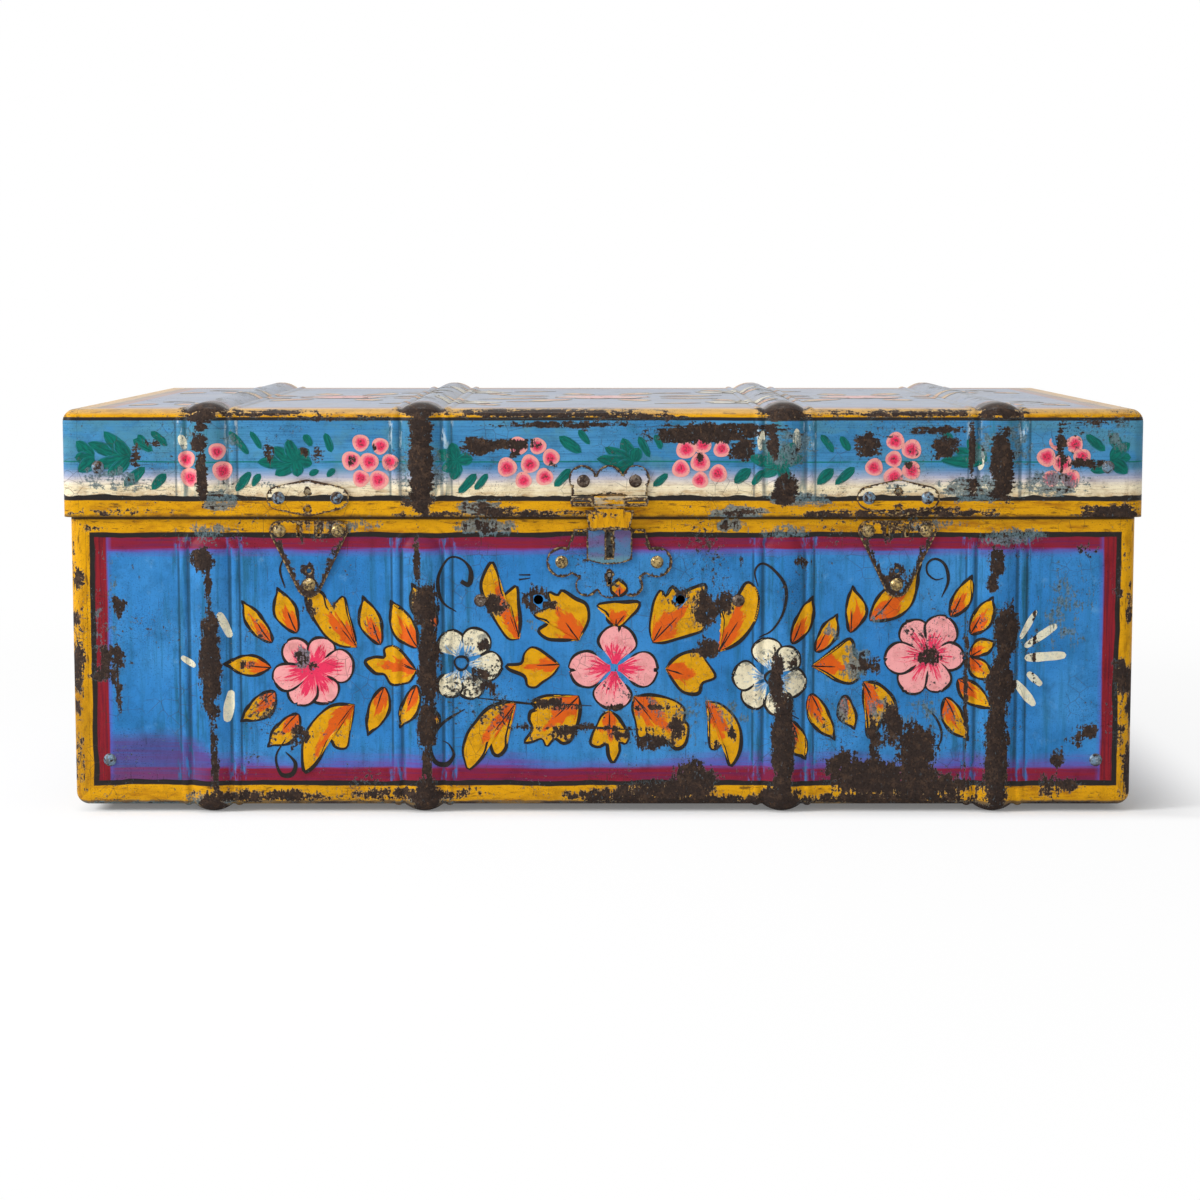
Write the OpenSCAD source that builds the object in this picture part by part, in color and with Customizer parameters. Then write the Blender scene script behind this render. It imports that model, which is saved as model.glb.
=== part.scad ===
// Old painted sheet-steel trunk with pressed ribs, a hasp lock and two catches that have lost
// their levers. Millimetres. X runs along the width, the front faces -Y, +Z is up and z = 0
// is the plane that the worn crests of the bottom ribs stand on.

/* [Body] */
// Width of the body over its two end panels
body_w = 660; // [560:5:760]
// Depth of the body from front sheet to back sheet
body_d = 410; // [330:5:460]
// Height of the body sheet, from the bottom to the wired rim
body_h = 195; // [180:1:260]
// Thickness of every pressed sheet
sheet_t = 1; // [0.8:0.1:1.2]
// Outside radius of the bent edges
bend_r = 8; // [7:0.5:10]
// Radius of the wire that stiffens the body rim
rim_wire_r = 1.4; // [1:0.1:1.6]

/* [Lid] */
// Height of the lid sheet, from its rim to the flat top
lid_h = 66.5; // [60:0.5:90]
// Free space between the body sheet and the lid sheet
lid_gap = 2.5; // [2.2:0.1:4]
// Depth of body rim that the closed lid covers
rim_lap = 14; // [8:0.5:16]
// Height of the folded hem inside the lid rim
hem_h = 5; // [3:0.5:5]

/* [Ribs] */
// Distance of the inner pair of ribs from the middle
rib_inner_x = 112; // [100:1:130]
// Distance of the outer pair of ribs from the middle
rib_outer_x = 244; // [232:1:246]
// Width of the central bead of a rib
rib_w = 24; // [18:0.5:25]
// Height of the central bead of a rib
rib_h = 4.2; // [3:0.1:5]
// Distance of each thin flanking bead from the middle of its rib
flank_x = 16; // [15.5:0.1:17]
// Width of a flanking bead
flank_w = 5; // [4.5:0.1:5]
// Height of a flanking bead
flank_h = 1; // [0.8:0.1:1.2]
// Depth that wear has taken off the rib crests under the bottom and on the lid
crest_wear = 0.15; // [0.1:0.01:0.3]
// Flat strip between the body rim and the rounded end of a body rib
body_rib_stop = 24.4; // [22:0.1:30]
// Flat strip between the lid rim and the rounded end of a lid rib
lid_rib_stop = 12.6; // [12.5:0.1:16]

/* [End panels] */
// Width of the flange of an end panel under the wrapped sheet
flange_w = 25; // [18:1:30]
// Distance of the seam from the bent edge of an end panel
seam_x = 2; // [1.5:0.1:3]
// Height of the visible body seam rivets above the bottom sheet
body_seam_z = 29; // [20:1:60]
// Height of the lid seam rivets above the lid rim
lid_seam_z = 31; // [20:1:40]

/* [Rivets] */
// Radius of a rivet head
head_r = 4; // [3.5:0.1:4.5]
// Height of a rivet head
head_h = 2; // [1.5:0.1:2.4]
// Radius of a rivet shank
shank_r = 1.8; // [1.5:0.1:2]
// Radius of the flattened rivet tail
tail_r = 3; // [2.6:0.1:3.2]
// Height of the flattened rivet tail
tail_h = 0.8; // [0.6:0.1:1]

/* [Hinges] */
// Distance of each back hinge from the middle
hinge_x = 178; // [170:1:185]
// Width of a hinge
hinge_w = 40; // [34:1:46]
// Length of the hinge leaf on the body
hinge_body_leaf = 30; // [24:1:36]
// Length of the hinge leaf on the lid
hinge_lid_leaf = 24; // [20:1:30]
// Thickness of a hinge leaf
leaf_t = 1.5; // [1.2:0.1:1.8]
// Radius of the rolled knuckles
knuckle_r = 3.5; // [3:0.1:4]
// Radius of a hinge pin
pin_r = 1.5; // [1.2:0.1:1.8]
// Distance of the hinge axis below the lid rim
axis_drop = 1.5; // [1:0.1:2]

/* [Lock] */
// Distance of the lock to the right of the middle
lock_x = 4; // [0:1:8]
// Thickness of the lock plate, hasp plate and catch plates
plate_t = 1.2; // [1:0.1:1.4]
// Half the distance between the two rivets of the lock plate
lock_rivet_x = 29.5; // [29.5:0.5:31]
// Height of the lock plate
lock_plate_h = 43; // [40:1:48]
// Radius of the round part of the keyhole
keyhole_r = 1.9; // [1.8:0.1:2.1]
// Distance that the lock bolt travels
bolt_travel = 6; // [4:0.5:7]
// Depth of the lock case inside the trunk
case_depth = 13; // [11:0.5:16]
// Thickness of the hasp
hasp_t = 1.6; // [1.4:0.1:1.8]
// Width of the lower tongue of the hasp
tongue_w = 28.2; // [24:0.2:30]
// Length of the hasp from its pin to the end of the tongue
hasp_len = 39; // [36:0.5:42]
// Width of the slot in the tongue
tongue_slot_w = 4; // [3.5:0.1:4.5]
// Distance of the hasp pin above the lid rim
hasp_pin_z = 9.8; // [9:0.1:11]

/* [Catches and handle] */
// Distance of each catch from the middle
catch_x = 182; // [176:1:186]
// Half the distance between the two rivets of a keeper or of the top of a catch plate
catch_rivet_x = 18; // [17:0.5:19]
// Height of the keeper rivets above the lid rim
keeper_up = 12; // [11:0.5:14]
// Distance of the top rivets of a catch plate below the lid rim
catch_drop = 8.5; // [8:0.5:10]
// Distance of the tip rivet of a catch plate below its top rivets
catch_h = 33.5; // [30:0.5:36]
// Distance of the small hole of a catch plate above its tip rivet
catch_hole_up = 8.5; // [7.5:0.5:10]
// Distance of the handle rivets below the lid rim
handle_rivet_drop = 52; // [48:0.5:56]
// Distance of the open handle holes below the lid rim
handle_hole_drop = 51.5; // [48:0.5:56]
// Half the distance between the two open holes that the handle has left
handle_hole_x = 44; // [43:1:48]
// Half the distance between the two rivets that the handle has left
handle_rivet_x = 80; // [74:1:82]
// Radius of the open handle holes
handle_hole_r = 3; // [2.5:0.1:3.2]

/* [Hidden] */
$fn = 48;
// Gap between sheets of one body that lie on each other
seat = 0.1;
// Radial clearance of a rivet in its hole
hole_gap = 0.1;
// Radial clearance of a pin in a turning knuckle
run_gap = 0.05;
// Clearance between pieces that move past each other
move_gap = 0.4;
// Amount by which a cut runs past a face
over = 1;
// Depth to which a pressed bead is rooted in its sheet
root = sheet_t / 2;

foot = rib_h - crest_wear;
body_top = foot + body_h;
lid_rim_z = body_top - rim_lap;
lid_top = lid_rim_z + lid_h;
lid_w = body_w + 2 * (lid_gap + sheet_t);
lid_d = body_d + 2 * (lid_gap + sheet_t);
body_front = -body_d / 2;
lid_front = -lid_d / 2;
rib_xs = [-rib_outer_x, -rib_inner_x, rib_inner_x, rib_outer_x];
rib_r = (rib_w * rib_w / 4 + rib_h * rib_h) / (2 * rib_h);
flank_r = (flank_w * flank_w / 4 + flank_h * flank_h) / (2 * flank_h);

// The rolled rim: the sheet is curled round the wire, tangent to its own outside face
bead_in = rim_wire_r + 0.2;
bead_r = bead_in + sheet_t;
flange_top_drop = 2 * bead_r + 0.8;
hem_clear = hem_h + 0.5;

// Hinge and hasp axes lie equally far out, so that the trunk is centred on its depth
knuckle_y = lid_d / 2 + 0.3 + knuckle_r;
hinge_z = lid_rim_z - axis_drop;
bore_r = pin_r + run_gap;
hinge_xs = [-hinge_x, hinge_x];
hinge_third = hinge_w / 3;
hinge_rivet_x = hinge_w / 2 - 7;
body_leaf_top = hinge_z - knuckle_r + 1;
body_leaf_rivet_z = body_leaf_top - hinge_body_leaf + 9;
lid_leaf_bottom = hinge_z + knuckle_r + 0.5;
lid_leaf_rivet_z = lid_leaf_bottom + hinge_lid_leaf - 8;

// Lock, measured down from the lid rim
lock_top = lid_rim_z - 7.5;
lock_rivet_z = lock_top - 20.5;
keyhole_z = lock_top - 28.5;
keyhole_slot = 6;
key_slot_w = 2;
bolt_z = lock_top - 7;
bolt_h = 5;
bolt_t = 3;
tail_x = 3.2;
tail_end = 1.4;
guide_play = 0.15;
plate_slot_w = 5;
plate_slot_h = 15;
plate_slot_top = lock_top - 2;
case_h = 38;
case_top = lock_top - 1;
case_tab_h = 14;
case_front = body_front + sheet_t + seat;
case_back = case_front + case_depth;
bolt_front = body_front + sheet_t + 0.4;
bolt_rest_x = lock_x + 0.8;
guide_r = 1.5;
guide_z = bolt_z - 9;
guide_x = 6.5;
guide_pitch = 8;
guide_slot = guide_pitch + bolt_travel + 2 * (guide_r + guide_play);
bolt_len = guide_x - guide_r - guide_play + guide_slot + tail_end;
case_w = 2 * (bolt_rest_x - lock_x + bolt_len + move_gap + sheet_t);
case_tabs_w = 2 * (lock_rivet_x + tail_r + 1.5);
post_r = 1.2;
fixing_head_h = 1;

// Hasp: the upper leaf stands in front of the lid rim and the tongue steps back to the body
hasp_z = lid_rim_z + hasp_pin_z;
hasp_knuckle = 18.8;
hasp_knuckles_w = 46.8;
hasp_front = -knuckle_y - 0.3;
shoulder_w = 30;
shoulder_z = hasp_z - 5.2;
step_w = 25;
step_z = hasp_z - 17;
tongue_z = hasp_z - hasp_len;
tongue_back = body_front - plate_t - move_gap;
tongue_slot_top = step_z - 1.6;
tongue_slot_h = 16.4;
hasp_rivet_x = 16;
hasp_rivet_z = hasp_z + 12.6;

// Catches
catch_xs = [-catch_x, catch_x];
keeper_z = lid_rim_z + keeper_up;
catch_top_z = lid_rim_z - catch_drop;
catch_tip_z = catch_top_z - catch_h;

handle_rivet_z = lid_rim_z - handle_rivet_drop;
handle_hole_z = lid_rim_z - handle_hole_drop;

guide_xs = [bolt_rest_x + guide_x, bolt_rest_x + guide_x + guide_pitch];

// Rivet places as [x, z] pairs, on the front or on the back
lock_rivets_at = [for (s = [-1, 1]) [lock_x + s * lock_rivet_x, lock_rivet_z]];
hasp_rivets_at = [for (s = [-1, 1]) [lock_x + s * hasp_rivet_x, hasp_rivet_z]];
keeper_rivets_at = [for (c = catch_xs, s = [-1, 1]) [c + s * catch_rivet_x, keeper_z]];
catch_rivets_at = [
    for (c = catch_xs, s = [-1, 1]) [c + s * catch_rivet_x, catch_top_z],
    for (c = catch_xs) [c, catch_tip_z]
];
handle_rivets_at = [for (s = [-1, 1]) [lock_x + s * handle_rivet_x, handle_rivet_z]];
handle_holes_at = [for (s = [-1, 1]) [lock_x + s * handle_hole_x, handle_hole_z]];
body_seam_at = [
    for (s = [-1, 1]) [s * (body_w / 2 - bend_r - seam_x - flange_w / 2), foot + body_seam_z]
];
lid_seam_at = [
    for (s = [-1, 1]) [s * (lid_w / 2 - bend_r - seam_x - flange_w / 2), lid_rim_z + lid_seam_z]
];
hinge_body_rivets_at = [
    for (c = hinge_xs, s = [-1, 1]) [c + s * hinge_rivet_x, body_leaf_rivet_z]
];
hinge_lid_rivets_at = [
    for (c = hinge_xs, s = [-1, 1]) [c + s * hinge_rivet_x, lid_leaf_rivet_z]
];

paint_blue = "#4a86bd";
paint_yellow = "#d9a21b";
worn_steel = "#6d6760";
worn_brass = "#a8803c";
rust = "#5a4034";

// Helpers that place children on the front or on the back, with local +Z pointing outwards
module on_front(places, y) {
    for (p = places) translate([p[0], y, p[1]]) rotate([90, 0, 0]) children();
}

module on_back(places, y) {
    for (p = places) translate([p[0], y, p[1]]) rotate([-90, 0, 0]) children();
}

// Domed rivet: local z = 0 is the face under its head and grip is what it holds together
module rivet(grip, radius = head_r) {
    dome_r = (radius * radius + head_h * head_h) / (2 * head_h);
    difference() {
        translate([0, 0, head_h - dome_r]) sphere(r = dome_r);
        translate([0, 0, -2 * dome_r]) cube([4 * dome_r, 4 * dome_r, 4 * dome_r], center = true);
    }
    translate([0, 0, -grip - tail_h / 2]) cylinder(r = shank_r, h = grip + tail_h / 2 + root);
    translate([0, 0, -grip - tail_h]) cylinder(r = tail_r, h = tail_h);
}

// Hole for a rivet, reaching depth inwards from local z = over
module rivet_hole(depth) {
    translate([0, 0, -depth]) cylinder(r = shank_r + hole_gap, h = depth + over);
}

// Section of sheet in a tub that is open at the top: the band between inset a and inset b
module u_band(d, h, a, b) {
    for (s = [-1, 1]) {
        translate([s * (d / 2 - (a + b) / 2) - (b - a) / 2, bend_r]) square([b - a, h - bend_r]);
        translate([s * (d / 2 - bend_r), bend_r]) mirror([s < 0 ? 1 : 0, 0]) rotate(-90) quarter_ring(a, b);
    }
    translate([-d / 2 + bend_r, a]) square([d - 2 * bend_r, b - a]);
}

// Quarter of the bent edge, between inset a and inset b, in the first quadrant
module quarter_ring(a, b) {
    intersection() {
        difference() {
            circle(r = bend_r - a);
            circle(r = bend_r - b);
        }
        square(bend_r);
    }
}

// Curled rim: its wall comes up at x = 0 to y = -bead_r and curls towards +x
module bead_section() {
    translate([bead_r, -bead_r]) difference() {
        circle(r = bead_r);
        circle(r = bead_in);
        translate([-2 * bead_r, -2 * bead_r]) square(2 * bead_r);
    }
}

// Extrusion of a section drawn in (y, z) along the width
module along_x(from, to) {
    translate([from, 0, 0]) rotate([90, 0, 90]) linear_extrude(height = to - from) children();
}

// Section of a pressed rib: x across it, y outwards from the sheet
module rib_section(inset, low) {
    intersection() {
        union() {
            translate([0, rib_h - rib_r]) circle(r = rib_r - inset);
            for (s = [-1, 1]) translate([s * flank_x, flank_h - flank_r]) circle(r = flank_r - inset);
        }
        translate([-flank_x - flank_w, low]) square([2 * (flank_x + flank_w), rib_h - low + over]);
    }
}

module half_rib_section(inset, low) {
    intersection() {
        rib_section(inset, low);
        translate([0, low - over]) square([flank_x + 2 * flank_w, rib_h - low + 3 * over]);
    }
}

// One rib round front, bottom and back of a tub that is open at the top
module rib_run(d, stop_z, inset, low) {
    for (s = [0, 1]) mirror([0, s, 0]) {
        translate([0, -d / 2, bend_r]) linear_extrude(height = stop_z - bend_r)
            mirror([0, 1]) rib_section(inset, low);
        translate([0, -d / 2 + bend_r, bend_r]) rotate([90, 0, 90]) rotate([0, 0, 180])
            rotate_extrude(angle = 90)
            translate([bend_r, 0]) rotate(-90) mirror([1, 0]) rib_section(inset, low);
        translate([0, -d / 2, stop_z]) rotate([90, 0, 0])
            rotate_extrude(angle = 180) half_rib_section(inset, low);
    }
    rotate([90, 0, 0]) linear_extrude(height = d - 2 * bend_r, center = true)
        mirror([0, 1]) rib_section(inset, low);
}

// Wrapped sheet with its four ribs, in a tub frame: bottom face at z = 0, rim at z = h
module tub_wrap(w, d, h, stop, wired) {
    half = w / 2 - bend_r - seam_x - seat;
    stop_z = h - stop - rib_w / 2;
    difference() {
        union() {
            along_x(-half, half) {
                u_band(d, wired ? h - bead_r : h, 0, sheet_t);
                if (wired) for (s = [0, 1]) mirror([s, 0]) translate([-d / 2, h]) bead_section();
                if (!wired) for (s = [0, 1]) mirror([s, 0]) translate([-d / 2 + sheet_t, h - hem_h])
                    square([sheet_t, hem_h]);
            }
            for (x = rib_xs) translate([x, 0, 0]) rib_run(d, stop_z, 0, -root);
        }
        for (x = rib_xs) translate([x, 0, 0]) rib_run(d, stop_z, sheet_t, -sheet_t - root);
        translate([-w / 2, -d, -rib_h - over]) cube([w, 2 * d, over + crest_wear]);
    }
}

// End panel of the same tub, at its +X end: a pan whose flange steps under the wrapped sheet
module tub_end(w, d, h, wired) {
    x_bend = w / 2 - bend_r;
    x_seam = x_bend - seam_x;
    y_bend = d / 2 - bend_r;
    wall_h = wired ? h - bead_r : h;
    flange_h = wired ? h - flange_top_drop : h - hem_clear;
    lap = sheet_t + seat;
    translate([w / 2 - sheet_t, -y_bend, bend_r]) cube([sheet_t, 2 * y_bend, wall_h - bend_r]);
    translate([x_bend, 0, bend_r]) rotate([90, 0, 0]) rotate([0, 0, -90])
        linear_extrude(height = 2 * y_bend, center = true) quarter_ring(0, sheet_t);
    for (s = [0, 1]) mirror([0, s, 0]) translate([x_bend, y_bend, bend_r]) {
        linear_extrude(height = wall_h - bend_r) quarter_ring(0, sheet_t);
        rotate_extrude(angle = 90) mirror([0, 1]) quarter_ring(0, sheet_t);
        if (wired) translate([0, 0, h - bend_r]) rotate_extrude(angle = 90)
            translate([bend_r, 0]) mirror([1, 0]) bead_section();
    }
    along_x(x_seam, x_bend) {
        u_band(d, wall_h, 0, sheet_t);
        if (wired) for (s = [0, 1]) mirror([s, 0]) translate([-d / 2, h]) bead_section();
    }
    along_x(x_seam, x_seam + sheet_t) u_band(d, flange_h, 0, lap + sheet_t);
    along_x(x_seam - flange_w, x_seam) u_band(d, flange_h, lap, lap + sheet_t);
    if (wired) translate([w / 2, 0, h]) rotate([90, 0, 0])
        linear_extrude(height = 2 * y_bend, center = true) mirror([1, 0]) bead_section();
    if (!wired) translate([w / 2 - 2 * sheet_t, -y_bend, h - hem_h]) cube([sheet_t, 2 * y_bend, hem_h]);
}

module in_body() {
    translate([0, 0, foot]) children();
}

module in_lid() {
    translate([0, 0, lid_top]) mirror([0, 0, 1]) children();
}

// Body
module body_wrap() {
    sheet_hole = sheet_t + over;
    color(paint_blue) difference() {
        in_body() tub_wrap(body_w, body_d, body_h, body_rib_stop, true);
        on_front(concat(lock_rivets_at, catch_rivets_at, handle_rivets_at, body_seam_at), body_front)
            rivet_hole(sheet_hole);
        on_back(concat(body_seam_at, hinge_body_rivets_at), -body_front) rivet_hole(sheet_hole);
        on_front(handle_holes_at, body_front)
            translate([0, 0, -sheet_hole]) cylinder(r = handle_hole_r, h = sheet_hole + over);
        lock_cuts(body_front, sheet_hole);
    }
}

module body_end() {
    color(paint_blue) difference() {
        in_body() tub_end(body_w, body_d, body_h, true);
        on_front(body_seam_at, body_front) rivet_hole(2 * sheet_t + seat + over);
        on_back(body_seam_at, -body_front) rivet_hole(2 * sheet_t + seat + over);
    }
}

module body_end_left() {
    mirror([1, 0, 0]) body_end();
}

module body_end_right() {
    body_end();
}

// Wire in the curled rim, bent round the four corners
module body_rim_wire() {
    x = body_w / 2 - bend_r;
    y = body_d / 2 - bend_r;
    bend = bend_r - bead_r;
    color(rust) translate([0, 0, body_top - bead_r]) for (sx = [0, 1], sy = [0, 1])
        mirror([sx, 0, 0]) mirror([0, sy, 0]) {
            translate([x, y, 0]) rotate_extrude(angle = 90) translate([bend, 0]) circle(r = rim_wire_r);
            translate([0, y + bend, 0]) rotate([0, 90, 0]) cylinder(r = rim_wire_r, h = x);
            translate([x + bend, 0, 0]) rotate([-90, 0, 0]) cylinder(r = rim_wire_r, h = y);
        }
}

module body_seam_rivets() {
    color(rust) {
        on_front(body_seam_at, body_front) rivet(2 * sheet_t + seat);
        on_back(body_seam_at, -body_front) rivet(2 * sheet_t + seat);
    }
}

// Lid
module lid_wrap() {
    color(paint_blue) difference() {
        in_lid() tub_wrap(lid_w, lid_d, lid_h, lid_rib_stop, false);
        on_front(concat(hasp_rivets_at, keeper_rivets_at, lid_seam_at), lid_front)
            rivet_hole(sheet_t + over);
        on_back(concat(lid_seam_at, hinge_lid_rivets_at), -lid_front) rivet_hole(sheet_t + over);
    }
}

module lid_end() {
    color(paint_blue) difference() {
        in_lid() tub_end(lid_w, lid_d, lid_h, false);
        on_front(lid_seam_at, lid_front) rivet_hole(2 * sheet_t + seat + over);
        on_back(lid_seam_at, -lid_front) rivet_hole(2 * sheet_t + seat + over);
    }
}

module lid_end_left() {
    mirror([1, 0, 0]) lid_end();
}

module lid_end_right() {
    lid_end();
}

module lid_seam_rivets() {
    color(rust) {
        on_front(lid_seam_at, lid_front) rivet(2 * sheet_t + seat);
        on_back(lid_seam_at, -lid_front) rivet(2 * sheet_t + seat);
    }
}

// Knuckle along the width, from x = from to x = to, bored for the pin
module knuckle(from, to) {
    translate([from, 0, 0]) rotate([0, 90, 0]) cylinder(r = knuckle_r, h = to - from);
}

module knuckle_bore(from, to) {
    translate([from - over, 0, 0]) rotate([0, 90, 0]) cylinder(r = bore_r, h = to - from + 2 * over);
}

// Body leaf of a hinge: a flat leaf and two outer knuckles on short webs
module hinge_body_leaf(x) {
    half = hinge_w / 2;
    inner = hinge_third / 2 + move_gap / 2;
    color(rust) difference() {
        union() {
            translate([x - half, body_d / 2, body_leaf_top - hinge_body_leaf])
                cube([hinge_w, leaf_t, hinge_body_leaf]);
            for (s = [-1, 1]) translate([x + s * (half + inner) / 2, knuckle_y, hinge_z]) {
                knuckle(-(half - inner) / 2, (half - inner) / 2);
                translate([-(half - inner) / 2, body_d / 2 - knuckle_y, body_leaf_top - leaf_t - hinge_z])
                    cube([half - inner, knuckle_y - body_d / 2, leaf_t]);
            }
        }
        translate([x, knuckle_y, hinge_z]) knuckle_bore(-half, half);
        on_back(hinge_body_rivets_at, body_d / 2 + leaf_t) rivet_hole(leaf_t + over);
    }
}

// Lid leaf of a hinge: a flat leaf with one tab down to the middle knuckle
module hinge_lid_leaf(x) {
    half_knuckle = hinge_third / 2 - move_gap / 2;
    color(rust) difference() {
        union() {
            translate([x - hinge_w / 2, lid_d / 2, lid_leaf_bottom])
                cube([hinge_w, leaf_t, hinge_lid_leaf]);
            translate([x - half_knuckle, lid_d / 2, hinge_z])
                cube([2 * half_knuckle, leaf_t, lid_leaf_bottom - hinge_z + over]);
            translate([x, knuckle_y, hinge_z]) knuckle(-half_knuckle, half_knuckle);
        }
        translate([x, knuckle_y, hinge_z]) knuckle_bore(-half_knuckle, half_knuckle);
        on_back(hinge_lid_rivets_at, lid_d / 2 + leaf_t) rivet_hole(leaf_t + over);
    }
}

module hinge_body_leaf_left() {
    hinge_body_leaf(-hinge_x);
}

module hinge_body_leaf_right() {
    hinge_body_leaf(hinge_x);
}

module hinge_lid_leaf_left() {
    hinge_lid_leaf(-hinge_x);
}

module hinge_lid_leaf_right() {
    hinge_lid_leaf(hinge_x);
}

module hinge_pin(x) {
    color(worn_steel) translate([x - hinge_w / 2 - 0.5, knuckle_y, hinge_z]) rotate([0, 90, 0])
        cylinder(r = pin_r, h = hinge_w + 1);
}

module hinge_pin_left() {
    hinge_pin(-hinge_x);
}

module hinge_pin_right() {
    hinge_pin(hinge_x);
}

module hinge_body_rivets() {
    color(rust) on_back(hinge_body_rivets_at, body_d / 2 + leaf_t) rivet(leaf_t + sheet_t);
}

module hinge_lid_rivets() {
    color(rust) on_back(hinge_lid_rivets_at, lid_d / 2 + leaf_t) rivet(leaf_t + sheet_t);
}

// Slot for the staple of the hasp, and keyhole, cut into a sheet whose outside is at y
module lock_cuts(y, depth) {
    translate([lock_x - plate_slot_w / 2, y - over, plate_slot_top - plate_slot_h])
        cube([plate_slot_w, depth + over, plate_slot_h]);
    translate([lock_x, y + depth, keyhole_z]) rotate([90, 0, 0])
        cylinder(r = keyhole_r, h = depth + over);
    translate([lock_x - key_slot_w / 2, y - over, keyhole_z - keyhole_slot])
        cube([key_slot_w, depth + over, keyhole_slot]);
}

// Scalloped lock plate
module lock_plate_outline() {
    ear_r = 9.5;
    side = 24;
    low = lock_plate_h - 8;
    foot_r = 8;
    for (s = [-1, 1]) {
        translate([s * lock_rivet_x, lock_rivet_z - lock_top]) circle(r = ear_r);
        translate([s * 14, -low]) circle(r = foot_r - 1);
    }
    translate([0, -low]) circle(r = foot_r);
    polygon([
        [side - 2, 0], [-side + 2, 0], [-side - 2, -12], [-lock_rivet_x - 4, -22],
        [-side + 3, -29], [-16, 2 - low], [16, 2 - low], [side - 3, -29],
        [lock_rivet_x + 4, -22], [side + 2, -12]
    ]);
}

module lock_plate() {
    color(worn_steel) difference() {
        translate([lock_x, body_front, lock_top]) rotate([90, 0, 0])
            linear_extrude(height = plate_t) lock_plate_outline();
        on_front(lock_rivets_at, body_front - plate_t) rivet_hole(plate_t + over);
        lock_cuts(body_front - plate_t, plate_t + over);
    }
}

// Lock case inside the trunk: an open pan with two riveted tabs
module lock_case() {
    inner_w = case_w - 2 * sheet_t;
    inner_h = case_h - 2 * sheet_t;
    color(worn_steel) difference() {
        union() {
            translate([lock_x - case_w / 2, case_front, case_top - case_h])
                cube([case_w, case_depth, case_h]);
            translate([lock_x - case_tabs_w / 2, case_front, lock_rivet_z - case_tab_h / 2])
                cube([case_tabs_w, sheet_t, case_tab_h]);
        }
        translate([lock_x - inner_w / 2, case_front - over, case_top - case_h + sheet_t])
            cube([inner_w, case_depth - sheet_t + over, inner_h]);
        on_front(lock_rivets_at, case_front) rivet_hole(sheet_t + over);
        translate([lock_x, case_back - sheet_t - over, keyhole_z]) rotate([-90, 0, 0])
            cylinder(r = post_r + run_gap, h = sheet_t + 2 * over);
        for (x = guide_xs) translate([x, case_back - sheet_t - over, guide_z]) rotate([-90, 0, 0])
            cylinder(r = guide_r + run_gap, h = sheet_t + 2 * over);
    }
}

// Sliding bolt: its tip shows in the slot of the lock plate, its tail rides on the guide pins
module lock_bolt() {
    tail_low = guide_z - 6;
    slot_low = guide_z - guide_r - guide_play;
    color(worn_brass) difference() {
        union() {
            translate([bolt_rest_x, bolt_front, bolt_z - bolt_h / 2]) cube([bolt_len, bolt_t, bolt_h]);
            translate([bolt_rest_x + tail_x, bolt_front, tail_low])
                cube([bolt_len - tail_x, bolt_t, bolt_z - tail_low]);
        }
        translate([guide_xs[0] - guide_r - guide_play, bolt_front - over, slot_low])
            cube([guide_slot, bolt_t + 2 * over, 2 * (guide_r + guide_play)]);
        translate([guide_xs[0], bolt_front - over, tail_low - over]) cube([5, bolt_t + 2 * over, 4]);
    }
}

// Pin riveted through the back wall of the case, reaching forward to y = tip
module case_pin(x, z, radius, tip) {
    translate([x, tip, z]) rotate([-90, 0, 0]) cylinder(r = radius, h = case_back - tip + 0.5);
    translate([x, case_back, z]) rotate([-90, 0, 0]) cylinder(r = radius + 1, h = fixing_head_h);
}

module lock_guide_pins() {
    color(worn_steel) for (x = guide_xs) case_pin(x, guide_z, guide_r, case_front + 0.2);
}

module lock_key_post() {
    color(worn_steel) case_pin(lock_x, keyhole_z, post_r, body_front - plate_t / 2);
}

// Bowed leaf spring between the top wall of the case and the bolt
module lock_spring() {
    leaf = 0.5;
    half = 12;
    top = case_top - sheet_t - seat;
    rise = top - (bolt_z + bolt_h / 2) - 0.3 - leaf;
    bow_r = (half * half + rise * rise) / (2 * rise);
    color(worn_steel) translate([bolt_rest_x + half, bolt_front + bolt_t, top - bow_r])
        rotate([90, 0, 0]) rotate([0, 0, 90 - asin(half / bow_r)])
        rotate_extrude(angle = 2 * asin(half / bow_r)) translate([bow_r - leaf, 0]) square([leaf, bolt_t]);
}

module lock_rivets() {
    color(worn_brass) on_front(lock_rivets_at, body_front - plate_t)
        rivet(plate_t + 2 * sheet_t + seat);
}

// Hinge plate of the hasp, with three lobes along its top
module hasp_plate() {
    lobe_r = 8.5;
    half = hasp_knuckles_w / 2;
    inner = hasp_knuckle / 2 + move_gap / 2;
    color(worn_steel) difference() {
        union() {
            translate([lock_x, lid_front, hasp_z]) rotate([90, 0, 0]) linear_extrude(height = plate_t) {
                translate([-half, knuckle_r + 0.5]) square([2 * half, 10]);
                for (s = [-1, 0, 1]) translate([s * 16.5, 14]) circle(r = lobe_r);
                for (s = [-1, 1]) translate([s * (half + inner) / 2 - (half - inner) / 2, 0])
                    square([half - inner, knuckle_r + 1]);
            }
            for (s = [-1, 1]) translate([lock_x + s * (half + inner) / 2, -knuckle_y, hasp_z])
                knuckle(-(half - inner) / 2, (half - inner) / 2);
        }
        translate([lock_x, -knuckle_y, hasp_z]) knuckle_bore(-half, half);
        on_front(hasp_rivets_at, lid_front - plate_t) rivet_hole(plate_t + over);
    }
}

module hasp_pin() {
    color(worn_steel) translate([lock_x - hasp_knuckles_w / 2 - 0.5, -knuckle_y, hasp_z])
        rotate([0, 90, 0]) cylinder(r = pin_r, h = hasp_knuckles_w + 1);
}

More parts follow.
